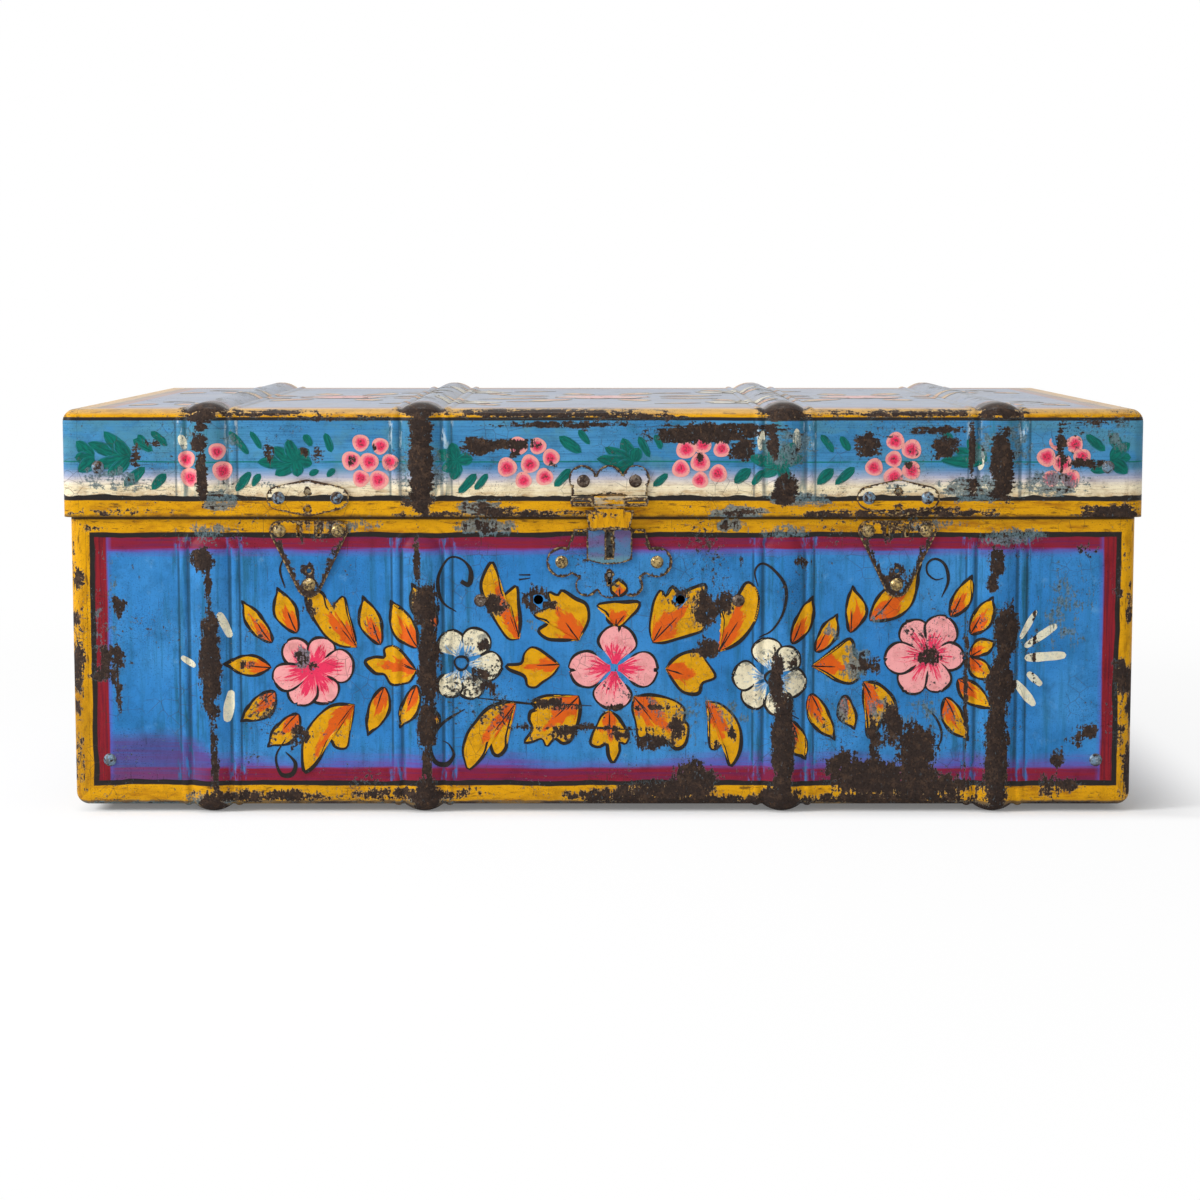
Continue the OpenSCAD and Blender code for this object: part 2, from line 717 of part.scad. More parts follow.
// Hasp: knuckle, shouldered upper leaf, step and slotted tongue
module hasp() {
    half = hasp_knuckle / 2;
    tip_r = 34;
    color(paint_yellow) difference() {
        union() {
            translate([lock_x, -knuckle_y, hasp_z]) knuckle(-half, half);
            translate([lock_x, hasp_front + hasp_t, 0]) rotate([90, 0, 0]) linear_extrude(height = hasp_t)
                polygon([
                    [-half, hasp_z], [half, hasp_z], [half, shoulder_z], [shoulder_w / 2, shoulder_z],
                    [step_w / 2, step_z], [-step_w / 2, step_z], [-shoulder_w / 2, shoulder_z],
                    [-half, shoulder_z]
                ]);
            translate([lock_x - step_w / 2, hasp_front, step_z])
                cube([step_w, tongue_back - hasp_front, hasp_t]);
            translate([lock_x, tongue_back, 0]) rotate([90, 0, 0]) linear_extrude(height = hasp_t)
                intersection() {
                    translate([-tongue_w / 2, tongue_z]) square([tongue_w, step_z - tongue_z + hasp_t / 2]);
                    translate([0, tongue_z + tip_r]) circle(r = tip_r);
                }
        }
        translate([lock_x, -knuckle_y, hasp_z]) knuckle_bore(-half, half);
        translate([lock_x - tongue_slot_w / 2, tongue_back - hasp_t - over, tongue_slot_top - tongue_slot_h])
            cube([tongue_slot_w, hasp_t + 2 * over, tongue_slot_h]);
    }
}

module hasp_plate_rivets() {
    color(rust) on_front(hasp_rivets_at, lid_front - plate_t) rivet(plate_t + sheet_t);
}

// Oval keeper on the lid, with the two holes of its lost hook
module catch_keeper(x) {
    end_r = 7.5;
    middle_r = 11.4;
    hole_r = 1.6;
    hole_places = [-7, 4];
    color(worn_steel) difference() {
        translate([x, lid_front, keeper_z]) rotate([90, 0, 0])
            linear_extrude(height = plate_t) hull() {
                for (s = [-1, 1]) translate([s * catch_rivet_x, 0]) circle(r = end_r);
                circle(r = middle_r);
            }
        on_front(keeper_rivets_at, lid_front - plate_t) rivet_hole(plate_t + over);
        for (dz = hole_places) translate([x, lid_front + over, keeper_z + dz]) rotate([90, 0, 0])
            cylinder(r = hole_r, h = plate_t + 2 * over);
    }
}

module catch_keeper_left() {
    catch_keeper(-catch_x);
}

module catch_keeper_right() {
    catch_keeper(catch_x);
}

module catch_keeper_rivets() {
    color(worn_brass) on_front(keeper_rivets_at, lid_front - plate_t) rivet(plate_t + sheet_t);
}

// Three-cornered catch plate on the body, slit where its lever was held
module catch_base(x, lug) {
    corner_r = 6.3;
    tip_r = 8;
    slit_x = 6.2;
    slit_w = 1.5;
    slit_h = 7;
    lug_t = 1.6;
    lug_out = 2;
    hole_r = 1.5;
    color(worn_steel) difference() {
        union() {
            translate([x, body_front, catch_top_z]) rotate([90, 0, 0])
                linear_extrude(height = plate_t) hull() {
                    for (s = [-1, 1]) translate([s * catch_rivet_x, 0]) circle(r = corner_r);
                    translate([0, catch_tip_z - catch_top_z]) circle(r = tip_r);
                }
            if (lug) translate([x - slit_x + slit_w, body_front - plate_t - lug_out, catch_top_z + 1])
                cube([2 * (slit_x - slit_w), lug_out + plate_t / 2, lug_t]);
        }
        on_front(catch_rivets_at, body_front - plate_t) rivet_hole(plate_t + over);
        for (s = [-1, 1])
            translate([x + s * slit_x - slit_w / 2, body_front - plate_t - over, catch_top_z - slit_h / 2])
                cube([slit_w, plate_t + 2 * over, slit_h]);
        translate([x, body_front + over, catch_tip_z + catch_hole_up]) rotate([90, 0, 0])
            cylinder(r = hole_r, h = plate_t + 2 * over);
    }
}

module catch_base_left() {
    catch_base(-catch_x, false);
}

module catch_base_right() {
    catch_base(catch_x, true);
}

module catch_base_rivets() {
    color(worn_brass) on_front(catch_rivets_at, body_front - plate_t) rivet(plate_t + sheet_t);
}

// Rivets that are left of the lost handle
module handle_rivets() {
    color(rust) on_front(handle_rivets_at, body_front) rivet(sheet_t);
}

body_wrap();
body_end_left();
body_end_right();
body_rim_wire();
body_seam_rivets();
lid_wrap();
lid_end_left();
lid_end_right();
lid_seam_rivets();
hinge_body_leaf_left();
hinge_body_leaf_right();
hinge_lid_leaf_left();
hinge_lid_leaf_right();
hinge_pin_left();
hinge_pin_right();
hinge_body_rivets();
hinge_lid_rivets();
lock_plate();
lock_case();
lock_bolt();
lock_guide_pins();
lock_key_post();
lock_spring();
lock_rivets();
hasp_plate();
hasp_pin();
hasp();
hasp_plate_rivets();
catch_keeper_left();
catch_keeper_right();
catch_keeper_rivets();
catch_base_left();
catch_base_right();
catch_base_rivets();
handle_rivets();
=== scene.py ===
import math

import bpy
import numpy as np
from bpy.props import FloatProperty, FloatVectorProperty, PointerProperty
from mathutils import Euler, Matrix, Vector


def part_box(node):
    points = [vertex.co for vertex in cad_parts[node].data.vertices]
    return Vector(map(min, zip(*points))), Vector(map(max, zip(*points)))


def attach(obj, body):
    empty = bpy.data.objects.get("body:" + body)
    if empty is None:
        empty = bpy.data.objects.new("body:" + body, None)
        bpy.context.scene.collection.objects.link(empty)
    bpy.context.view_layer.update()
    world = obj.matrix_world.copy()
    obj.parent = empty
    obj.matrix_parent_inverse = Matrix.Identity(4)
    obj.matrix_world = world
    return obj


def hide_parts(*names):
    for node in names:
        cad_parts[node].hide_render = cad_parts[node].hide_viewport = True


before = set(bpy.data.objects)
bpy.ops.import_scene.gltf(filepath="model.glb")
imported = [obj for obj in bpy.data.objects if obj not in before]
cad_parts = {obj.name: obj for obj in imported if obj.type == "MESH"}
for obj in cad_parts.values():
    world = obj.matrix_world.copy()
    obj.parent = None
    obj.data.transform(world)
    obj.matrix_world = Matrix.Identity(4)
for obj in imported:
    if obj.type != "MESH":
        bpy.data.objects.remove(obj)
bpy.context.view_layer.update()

bl_info = {
    "name": "Painted metal trunk",
    "version": (1, 0, 0),
    "blender": (4, 5, 0),
    "location": "View3D > Sidebar > Trunk",
    "description": "Pressed sheets, brush strokes and worn metal of a painted steel trunk",
    "category": "Object",
}

# Every length below is in millimetres and is multiplied by MM when it goes into a mesh
MM = 0.001


def span(node):
    """Lowest and highest corner of a node, in millimetres."""
    low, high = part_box(node)
    return np.array(low) / MM, np.array(high) / MM


def rgb(red, green, blue):
    """Linear colour of screen values from 0 to 255."""
    return tuple(
        v / 12.92 if v <= 0.04045 else ((v + 0.055) / 1.055) ** 2.4
        for v in (c / 255 for c in (red, green, blue))
    )


# Pressed ribs
RIB_XS = (-244, -112, 112, 244)
RIB_W = 24
RIB_H = 4.2
RIB_R = (RIB_W * RIB_W / 4 + RIB_H * RIB_H) / (2 * RIB_H)
FLANK_X = 16
FLANK_W = 5
FLANK_H = 1
FLANK_R = (FLANK_W * FLANK_W / 4 + FLANK_H * FLANK_H) / (2 * FLANK_H)
BEND_R = 8
SHEET_T = 1

# Width of the flange behind each end of a wrap, over which the wrap stays flat
SEAM_LAP = 26

# Open rivet holes of the lost handle: places across, height and radius, and how far paint keeps away
HANDLE_HOLES = ((-40, 48), 133.55, 3)
HOLE_CLEAR = 3.9

# Openings behind the lock plate, for the nose of the bolt and the key: x, z, half width, half height
LOCK_OPENINGS = ((4, 168, 2.7, 7.8), (4, 147.2, 2.3, 4.4))

# Fineness of the meshes: columns of a wrap between its ribs, rows down the tall body and the low lid, rows
# round the ends of the ribs and across the closed side, and small faces of plates and end panels
COLUMN_STEP = 6.2
TALL_STEP, LOW_STEP = 5.2, 2.1
RIB_END_ROWS = 18
FLAT_ROWS = 34
PLATE_STEP = 2.2
PANEL_STEP = 4

# Distance from a rib's middle line within which a brush stroke needs a fine grid
RIB_REACH = 20

# Brush paint: its thickness, and how much higher lines, berries, the rings of white flowers and the stroke on
# the lock plate lie
FILM_T = 0.45
LINE_LIFT = 0.1
BERRY_LIFT = 0.05
RING_LIFT = 0.34
LOCK_PLATE_LIFT = 1.25

BERRY_R = 5.5

# Places along one side of the outline of a leaf or a petal
EDGE_STEPS = 30

# Height above which the catch plates are a bar that has kept its paint
BAR_FOOT = 170

# Painted skin of the end panels: how deep it reaches into the sheet, and the height of their outer rim
SKIN_T = 0.35
RIM_H = 5.3

# Outline of the framed picture on the body: distances left and right of the middle of the front, its foot and
# its top, and how far it stays away from the corners of the ends
FRAME_LEFT, FRAME_RIGHT = 317.5, 320.5
FRAME_FOOT, FRAME_TOP = 17, 175.3
FRAME_CORNER = 12.5


def bead(r):
    """Height of a pressed rib at distance r from its middle line."""
    crest = np.sqrt(np.maximum(RIB_R**2 - r**2, 0)) - (RIB_R - RIB_H)
    flank = np.sqrt(np.maximum(FLANK_R**2 - (r - FLANK_X) ** 2, 0)) - (FLANK_R - FLANK_H)
    return np.maximum(np.maximum(crest, flank), 0)


def ribs_at(x, past=0):
    """Height of the four ribs at x, where past is how far a place lies beyond their end."""
    past = np.maximum(past, 0)
    return np.max([bead(np.hypot(x - c, past)) for c in RIB_XS], axis=0)


def ease(v):
    """Smooth step from 0 to 1."""
    v = np.clip(v, 0, 1)
    return v * v * (3 - 2 * v)


def to_segment(x, z, x0, z0, x1, z1):
    """Distance of places from a segment."""
    dx, dz = x1 - x0, z1 - z0
    along = np.clip(((x - x0) * dx + (z - z0) * dz) / (dx * dx + dz * dz + 1e-9), 0, 1)
    return np.hypot(x - x0 - along * dx, z - z0 - along * dz)


class Tub:
    """Outside of a pressed tub. t runs from its closed side to its open rim."""

    def __init__(self, end, wrap, stop, up, roll_r, roll_turn, creases):
        """stop is where the ribs end below the rim, roll_r and roll_turn give its curl."""
        low, high = span(end)
        self.half_w, self.half_d = -low[0], high[1]
        self.height = high[2] - low[2]
        self.up = up
        self.base = low[2] if up > 0 else high[2]
        wrap_low, wrap_high = span(wrap)
        self.seam = wrap_high[0]
        self.floor, self.roof = wrap_low[2], wrap_high[2]
        self.cap = self.height - stop - RIB_W / 2
        self.roll_r, self.roll_turn = roll_r, roll_turn
        self.creases = creases

    def dent(self, x, t):
        """Depth of the dents and slow waves of the front sheet."""
        fade = ease((self.seam - SEAM_LAP - np.abs(x)) / 18) * ease((self.height - 7 - t) / 9)
        fade = fade * ease((t - BEND_R) / 8)
        wave = 0.22 + 0.13 * np.sin(x / 37 + 0.7) * np.sin(t / 29 + 0.4) + 0.09 * np.sin(x / 15.3 + t / 23)
        for x0, t0, x1, t1, reach, depth in self.creases:
            wave = wave + depth * np.exp(-((to_segment(x, t, x0, t0, x1, t1) / reach) ** 2))
        return wave * fade

    def wall(self, x, t, front=True):
        """Distance of the skin outside the flat front or back."""
        out = ribs_at(x, t - self.cap)
        return out - self.dent(x, t) if front else out

    def z(self, t):
        """Height above the floor at t."""
        return self.base + self.up * t

    def lay(self, face, a, b, height):
        """Places height above the skin, where a runs right and b up or back for one who faces it."""
        t = (b - self.base) * self.up
        if face == "front":
            return a, -(self.half_d + self.wall(a, t) + height), b
        if face == "back":
            return -a, self.half_d + self.wall(-a, t, False) + height, b
        if face == "top":
            return a, b, np.minimum(self.base + ribs_at(a), self.roof) + height
        side = 1 if face == "right" else -1
        return side * (self.half_w + height) + 0 * a, side * a, b


# Creases are given as x, t, x, t, reach and depth
BODY = Tub(
    "body_end_left", "body_wrap", stop=24.4, up=1, roll_r=2.6, roll_turn=270,
    creases=[(-20, 20, 60, 12, 12, 0.5), (236, 18, 262, 60, 9, 0.4)],
)
LID = Tub(
    "lid_end_left", "lid_wrap", stop=12.6, up=-1, roll_r=1.03, roll_turn=180,
    creases=[(276, 16, 312, 50, 5, 1.9), (-306, 44, -292, 52, 8, 1.6), (-20, 40, 40, 34, 14, 0.4)],
)


def make_active(obj):
    """Leaves one object selected and active, in object mode."""
    if bpy.context.object and bpy.context.object.mode != "OBJECT":
        bpy.ops.object.mode_set(mode="OBJECT")
    bpy.ops.object.select_all(action="DESELECT")
    obj.select_set(True)
    bpy.context.view_layer.objects.active = obj
    return obj


def coordinates(mesh):
    """Vertex places of a mesh in millimetres."""
    co = np.empty(len(mesh.vertices) * 3)
    mesh.vertices.foreach_get("co", co)
    return co.reshape(-1, 3) / MM


def place_vertices(mesh, co):
    """Sets the vertex places of a mesh from millimetres."""
    mesh.vertices.foreach_set("co", (np.asarray(co) * MM).ravel())
    mesh.update()


def write_field(mesh, name, values):
    """Stores one number a vertex, which the materials read by name."""
    field = mesh.attributes.get(name) or mesh.attributes.new(name, "FLOAT", "POINT")
    field.data.foreach_set("value", np.asarray(values, dtype=np.float32))


def add_object(name, data):
    """Adds an object with its data to the scene."""
    obj = bpy.data.objects.new(name, data)
    bpy.context.scene.collection.objects.link(obj)
    return obj


def set_finishes(mesh, *finishes):
    """Gives a mesh its finishes, in order."""
    mesh.materials.clear()
    for finish in finishes:
        mesh.materials.append(finish)


def apply_modifier(obj, kind, **settings):
    """Adds a modifier and applies it at once."""
    make_active(obj)
    modifier = obj.modifiers.new(kind.title(), kind)
    for key, value in settings.items():
        setattr(modifier, key, value)
    bpy.ops.object.modifier_apply(modifier=modifier.name)


def edit(obj, *steps):
    """Runs steps of mesh editing, each a call without arguments, on one object."""
    make_active(obj)
    bpy.ops.object.mode_set(mode="EDIT")
    for step in steps:
        step()
    bpy.ops.object.mode_set(mode="OBJECT")


def edit_all(obj, *steps):
    """Runs steps of mesh editing on everything in one object."""
    edit(obj, lambda: bpy.ops.mesh.select_all(action="SELECT"), *steps)


def slice_mesh(obj, axis, places):
    """Cuts the faces of a mesh along planes across one axis, which leaves its shape as it is."""
    facing = Vector((0, 0, 0))
    facing[axis] = 1
    for place in places:
        level = Vector((0, 0, 0))
        level[axis] = place * MM
        edit_all(obj, lambda: bpy.ops.mesh.bisect(plane_co=level, plane_no=facing))


def grid(name, across, along):
    """Flat unit grid at the origin, with its own UV map."""
    if bpy.context.object:
        make_active(bpy.context.object)
    bpy.ops.object.select_all(action="DESELECT")
    bpy.ops.mesh.primitive_grid_add(x_subdivisions=across, y_subdivisions=along, size=1)
    obj = bpy.context.object
    obj.name = obj.data.name = name
    return obj


def finish_piece(obj, body, slot, *nodes):
    """Puts a finished piece on its body and hides the nodes that it takes the place of."""
    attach(obj, body)
    if nodes:
        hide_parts(*nodes)


# Wear, as places on the front in millimetres: x, z, half width, half height, strength.
# Rust lies down the rib crests and along the lower edge, rubbed primer along the rims.
BODY_RUST = [
    (-248, 159, 7, 7, 1), (-244, 141, 2, 13, 0.8), (-244, 117, 5, 9, 0.9), (-244, 92, 6.5, 26, 1.1),
    (-243, 64, 4, 6, 0.9), (-242, 34, 2.5, 18, 0.8), (-244, 4, 8, 8, 1), (-300, 129, 5, 6, 0.9),
    (-305, 97, 8, 9, 0.9), (-312, 88, 7, 6, 0.9), (-302, 75, 3, 10, 0.75), (-290, 150, 2, 3, 0.7),
    (-326, 95, 3, 40, 0.5), (-115, 157, 2, 15, 0.8), (-110, 130, 7, 14, 0.95), (-108, 100, 6, 20, 1.1),
    (-108, 84, 6, 18, 1), (-109, 55, 6, 14, 0.95), (-110, 34, 3, 10, 0.85), (-110, 8, 8, 14, 1),
    (-41, 133, 6, 9, 0.9), (-47, 134, 5, 4, 0.8), (63, 127, 7, 12, 0.92), (48, 134, 5, 6, 0.8),
    (76, 132, 5, 7, 0.85), (65, 102, 9, 5, 0.85), (108, 83, 4, 17, 0.95), (112, 42, 6.5, 32, 1.15),
    (58, 22, 14, 9, 1), (40, 14, 30, 6, 0.9), (10, 10, 34, 5, 0.8), (60, 6, 60, 4, 0.85),
    (30, 44, 14, 5, 0.75), (110, 8, 14, 9, 1), (168, 22, 26, 10, 1.05), (196, 38, 12, 19, 1),
    (180, 56, 5, 14, 0.95), (168, 40, 3, 16, 0.9), (192, 18, 40, 7, 1), (176, 8, 50, 4, 0.85),
    (150, 28, 10, 12, 0.85), (243, 158, 5, 9, 0.85), (241, 144, 4, 4, 0.8), (250, 113, 7, 17, 1.1),
    (246, 80, 7, 18, 1.15), (245, 34, 6.5, 40, 1.2), (253, 82, 5, 5, 0.85), (322, 88, 4, 9, 0.7),
    (326, 26, 4, 18, 0.5), (297, 51, 8, 2, 0.9), (280, 26, 2, 12, 0.75), (290, 17, 9, 4, 0.8),
    (268, 110, 1, 26, 0.74), (226, 78, 1, 34, 0.74), (222, 24, 1, 9, 0.8), (318, 150, 3, 9, 0.7),
    (147, 57, 2, 6, 0.75), (92, 160, 12, 2, 0.72), (122, 157, 5, 4, 0.74), (-120, 12, 40, 5, 0.72),
    (-210, 10, 40, 4, 0.72), (-180, 92, 4, 4, 0.56), (203, 98, 8, 7, 0.62), (7, 91, 2.5, 2.5, 0.5),
    (-78, 88, 5, 3, 0.55), (118, 92, 4, 6, 0.5), (4, 66, 60, 1.4, 0.66), (-20, 53, 46, 1.4, 0.68),
    (300, 165, 6, 4, 0.5), (327, 78, 3, 16, 0.5), (46, 52, 5, 7, 0.85), (34, 44, 10, 4, 0.9),
    (70, 42, 3, 3, 0.8), (80, 50, 3, 4, 0.76), (-24, 50, 8, 5, 0.74), (-34, 69, 10, 2.5, 0.82),
    (-66, 131, 8, 6, 0.8), (-30, 130, 5, 3, 0.74), (-74, 106, 4, 4, 0.78), (-76, 87, 6, 4, 0.78),
    (-71, 78, 5, 5, 0.84), (166, 92, 4, 7, 0.84), (-188, 47, 6, 9, 0.66), (-182, 128, 4, 6, 0.68),
    (-222, 92, 5, 3, 0.66), (-168, 130, 3, 5, 0.62), (12, 48, 8, 3, 0.7), (-328, 150, 3, 20, 0.4),
    (-320, 178, 14, 2, 0.5), (-327, 30, 4, 26, 0.5), (324, 160, 3, 14, 0.4), (-324, 96, 3, 9, 0.5),
    (-325, 124, 2.5, 6, 0.5), (-328, 66, 3, 4, 0.7), (327, 129, 2, 11, 0.7), (323, 48, 4, 8, 0.6),
    (322, 136, 2.5, 5, 0.5), (325, 84, 7, 9, 1.0), (329, 66, 4, 13, 0.84), (329, 26, 4, 18, 0.86),
    (322, 74, 4, 8, 0.6), (-328, 91, 3.6, 14, 0.82), (-328, 120, 4, 5, 0.74), (-325, 146, 3, 7, 0.76),
    (290, 1, 44, 4, 1.05), (215, 1, 40, 4, 1.05), (90, 1, 60, 3.5, 0.9), (303, 51, 6, 3.5, 0.98),
    (294, 46, 5, 3.5, 0.94), (285, 33, 4, 5, 0.94), (278, 16, 4, 8, 0.94), (-189, 97, 3, 5, 0.66),
]
BODY_RUBBED = [
    (-72, 179, 16, 5, 1), (78, 180, 9, 4, 0.9), (-250, 172, 14, 6, 0.5), (250, 172, 16, 5, 0.8),
    (-244, 8, 20, 5, 0.7), (-300, 3, 60, 3, 0.8), (-112, 10, 24, 5, 0.7), (0, 5, 320, 2.6, 0.35),
    (112, 14, 8, 8, 0.6), (200, 60, 20, 18, 0.5), (-308, 120, 10, 50, 0.42), (60, 60, 50, 16, 0.42),
    (288, 130, 18, 30, 0.5), (260, 174, 14, 4, 0.8), (-162, 180, 26, 4, 0.6), (200, 180, 30, 4, 0.6),
    (158, 94, 9, 12, 0.8), (149, 62, 4, 8, 0.84), (142, 113, 4, 5, 0.72), (172, 124, 6, 6, 0.6),
    (172, 66, 8, 10, 0.6), (-44, 118, 4, 4, 0.7), (-126, 60, 4, 6, 0.5), (-244, 176, 20, 6, 0.56),
    (112, 176, 18, 5, 0.6), (-187, 97, 5, 7, 0.85),
]
LID_RUST = [
    (-247, 241, 4, 3, 0.9), (-248, 231, 5, 6, 1.05), (-247, 212, 3.5, 14, 1), (-247, 247, 10, 3, 0.9),
    (-112, 220, 6.5, 34, 1.2), (-113, 197, 10, 5, 0.95), (-76, 229, 10, 6, 0.95), (-58, 230, 16, 3, 0.8),
    (-30, 242, 34, 1.6, 0.82), (-34, 249, 52, 2.6, 0.82), (20, 247, 26, 2, 0.76), (62, 236, 30, 5, 1),
    (86, 226, 7, 8, 0.95), (74, 240, 34, 3, 0.9), (105, 230, 3.5, 8, 0.85), (112, 202, 7, 9, 1.05),
    (112, 248, 14, 3, 0.9), (163, 229, 9, 8, 0.8), (210, 229, 8, 7, 0.95), (208, 239, 14, 2, 0.85),
    (227, 228, 1.6, 16, 0.9), (245, 221, 6.5, 16, 1.15), (247, 203, 6, 8, 0.95), (298, 218, 10, 3, 0.8),
    (312, 187, 17, 5, 0.9), (-287, 222, 3, 8, 0.7), (-67, 189, 14, 3, 0.8), (150, 187, 30, 3, 0.62),
    (200, 188, 40, 3, 0.66), (-220, 249, 40, 2, 0.66), (190, 249, 40, 2, 0.7), (246, 249, 14, 3, 0.9),
    (-298, 188, 30, 2, 0.5), (300, 243, 16, 2, 0.6), (-60, 187, 60, 2.4, 0.66), (228, 204, 3, 6, 0.8),
    (283, 228, 3, 14, 0.8), (-166, 246, 30, 2, 0.6), (-244, 253, 13, 5, 0.95), (-112, 253, 14, 6, 0.98),
    (112, 253, 15, 5, 0.95), (244, 253, 14, 5, 1.0), (-277, 231, 4, 2, 0.7), (-205, 225, 2.5, 7, 0.72),
    (-184, 226, 2, 5, 0.7), (-177, 225, 2, 6, 0.68), (-141, 228, 2, 2, 0.8), (-155, 220, 2, 3, 0.7),
    (-32, 216, 3, 4, 0.66), (-54, 224, 3, 3, 0.74), (60, 222, 3, 3, 0.7), (188, 218, 2.5, 3, 0.7),
]
LID_RUBBED = [
    (-76, 190, 14, 5, 1), (84, 188, 15, 4, 1), (-255, 233, 8, 9, 0.55), (-228, 231, 6, 8, 0.6),
    (-112, 215, 20, 16, 0.62), (112, 228, 20, 14, 0.66), (244, 228, 24, 16, 0.6), (232, 203, 26, 9, 0.75),
    (278, 206, 20, 8, 0.75), (-300, 208, 22, 9, 0.6), (-236, 195, 10, 7, 0.8), (120, 196, 20, 5, 0.7),
    (316, 236, 8, 10, 0.6), (180, 205, 12, 6, 0.55), (-210, 204, 12, 5, 0.5),
]
WEAR = {"body": (BODY_RUST, BODY_RUBBED), "lid": (LID_RUST, LID_RUBBED)}


def patch_field(patches, x, z):
    """Strongest of the patches at each place, with a soft rim."""
    field = np.zeros_like(x, dtype=float)
    for cx, cz, rx, rz, strength in patches:
        d = np.hypot((x - cx) / rx, (z - cz) / rz)
        soft = 0.9 + 1.1 / min(rx, rz)
        field = np.maximum(field, strength * np.clip(1 - np.maximum(d - 0.55, 0) / soft, 0, 1))
    return field


def write_wear(mesh, which, co=None):
    """Writes the rust and rubbed fields of a piece of the body or of the lid."""
    co = coordinates(mesh) if co is None else co
    x, y, z = co.T
    rust, rubbed = (patch_field(p, x, z) for p in WEAR[which])
    on_front = ease((-y - 180) / 12)
    crest = np.clip(ribs_at(x) / RIB_H, 0, 1)
    typical = 0.34 if which == "lid" else 0.6
    elsewhere = crest * (typical + 0.2 * np.sin(x / 3.1 + y / 17 + z / 13))
    write_field(mesh, "rust", rust * on_front + elsewhere * (1 - on_front))
    write_field(mesh, "rubbed", rubbed * on_front + 0.45 * crest * (1 - on_front))


def rib_lines(limit):
    """Places across a wrap: close together over the ribs and wide apart between them."""
    offsets = [0, 1.5, 3, 4.5, 6, 7.5, 9, 10.2, 11.2, 12, 12.8, 13.6, 14.4, 15.2, 16, 16.8, 17.6, 18.5, 19.5]
    lines = {-limit, limit}
    edges = [-limit]
    for c in RIB_XS:
        lines.update(c + s * o for o in offsets for s in (-1, 1))
        edges += [c - offsets[-1], c + offsets[-1]]
    edges.append(limit)
    for low, high in zip(edges[::2], edges[1::2]):
        lines.update(np.linspace(low, high, max(2, round((high - low) / COLUMN_STEP)) + 1))
    return np.array(sorted(lines))


def wall_lines(tub, start):
    """Places down a wall from its rim: close together round the ends of the ribs."""
    rounded = tub.cap + FLANK_X + FLANK_W / 2 + 1
    step = TALL_STEP if tub.height > 100 else LOW_STEP
    knee = min(rounded, start - 1)
    upper = np.linspace(start, knee, max(2, round((start - rounded) / 4)) + 1)
    ends = np.linspace(knee, tub.cap, RIB_END_ROWS)
    lower = np.linspace(tub.cap, BEND_R, max(2, round((tub.cap - BEND_R) / step)) + 1)
    return np.concatenate([upper, ends[1:], lower[1:]])


def half_path(tub):
    """Front half of the section of a wrap as rows of y, t, normal y, normal t and place on the wall."""
    r, rows = tub.roll_r, []
    if tub.roll_turn == 180:
        rows += [(-tub.half_d + 2 * r, tub.height - r - d, 1, 0, -1) for d in (4, 2)]
    for turn in np.linspace(tub.roll_turn, 0, round(tub.roll_turn / 20) + 1):
        c, s = math.cos(math.radians(turn)), math.sin(math.radians(turn))
        rows.append((-tub.half_d + r - r * c, tub.height - r + r * s, -c, s, -1))
    for t in wall_lines(tub, tub.height - r)[1:]:
        rows.append((-tub.half_d, t, -1, 0, 1))
    for turn in np.linspace(0, 90, 9)[1:]:
        c, s = math.cos(math.radians(turn)), math.sin(math.radians(turn))
        rows.append((-tub.half_d + BEND_R - BEND_R * c, BEND_R - BEND_R * s, -c, -s, 0))
    return np.array(rows)


def wrap_sheet(name, tub, which):
    """Sheet that runs over front, closed side and back, with ribs, dents, a rolled rim and thickness."""
    xs = rib_lines(tub.seam)
    front = half_path(tub)
    back = front[::-1] * (-1, 1, -1, 1, 1)
    inside = np.linspace(front[-1][0], -front[-1][0], FLAT_ROWS)[1:-1]
    flat = np.array([(y, 0, 0, -1, 0) for y in inside])
    rows = np.concatenate([front, flat, back])
    obj = grid(name, len(xs) - 1, len(rows) - 1)
    uv = coordinates(obj.data) * MM + 0.5
    column = np.rint(uv[:, 0] * (len(xs) - 1)).astype(int)
    row = np.rint(uv[:, 1] * (len(rows) - 1)).astype(int)
    x = xs[column]
    y, t, ny, nt, kind = rows[row].T
    past = np.where(kind > 0, t - tub.cap, 0)
    out = np.where(kind < 0, 0, ribs_at(x, past))
    out = out - np.where((kind > 0) & (y < 0), tub.dent(x, t), 0)
    z = np.clip(tub.z(t + out * nt), tub.floor, tub.roof)
    co = np.stack([x, y + out * ny, z], axis=1)
    place_vertices(obj.data, co)
    write_wear(obj.data, which, co)
    # A face of the closed side tells which way the normals point
    probe = obj.data.polygons[len(obj.data.polygons) // 2]
    if probe.normal.z * tub.up > 0:
        edit_all(obj, bpy.ops.mesh.flip_normals)
    return obj


def thicken(obj, outer, inner):
    """Gives a sheet its thickness, with another finish on the inside."""
    set_finishes(obj.data, outer, inner)
    apply_modifier(
        obj, "SOLIDIFY", thickness=SHEET_T * MM, offset=-1, use_even_offset=True,
        material_offset=1, material_offset_rim=0,
    )
    smooth(obj, 38)


def smooth(obj, angle):
    """Shades curved parts smooth and keeps sharp edges."""
    make_active(obj)
    bpy.ops.object.shade_smooth_by_angle(angle=math.radians(angle))


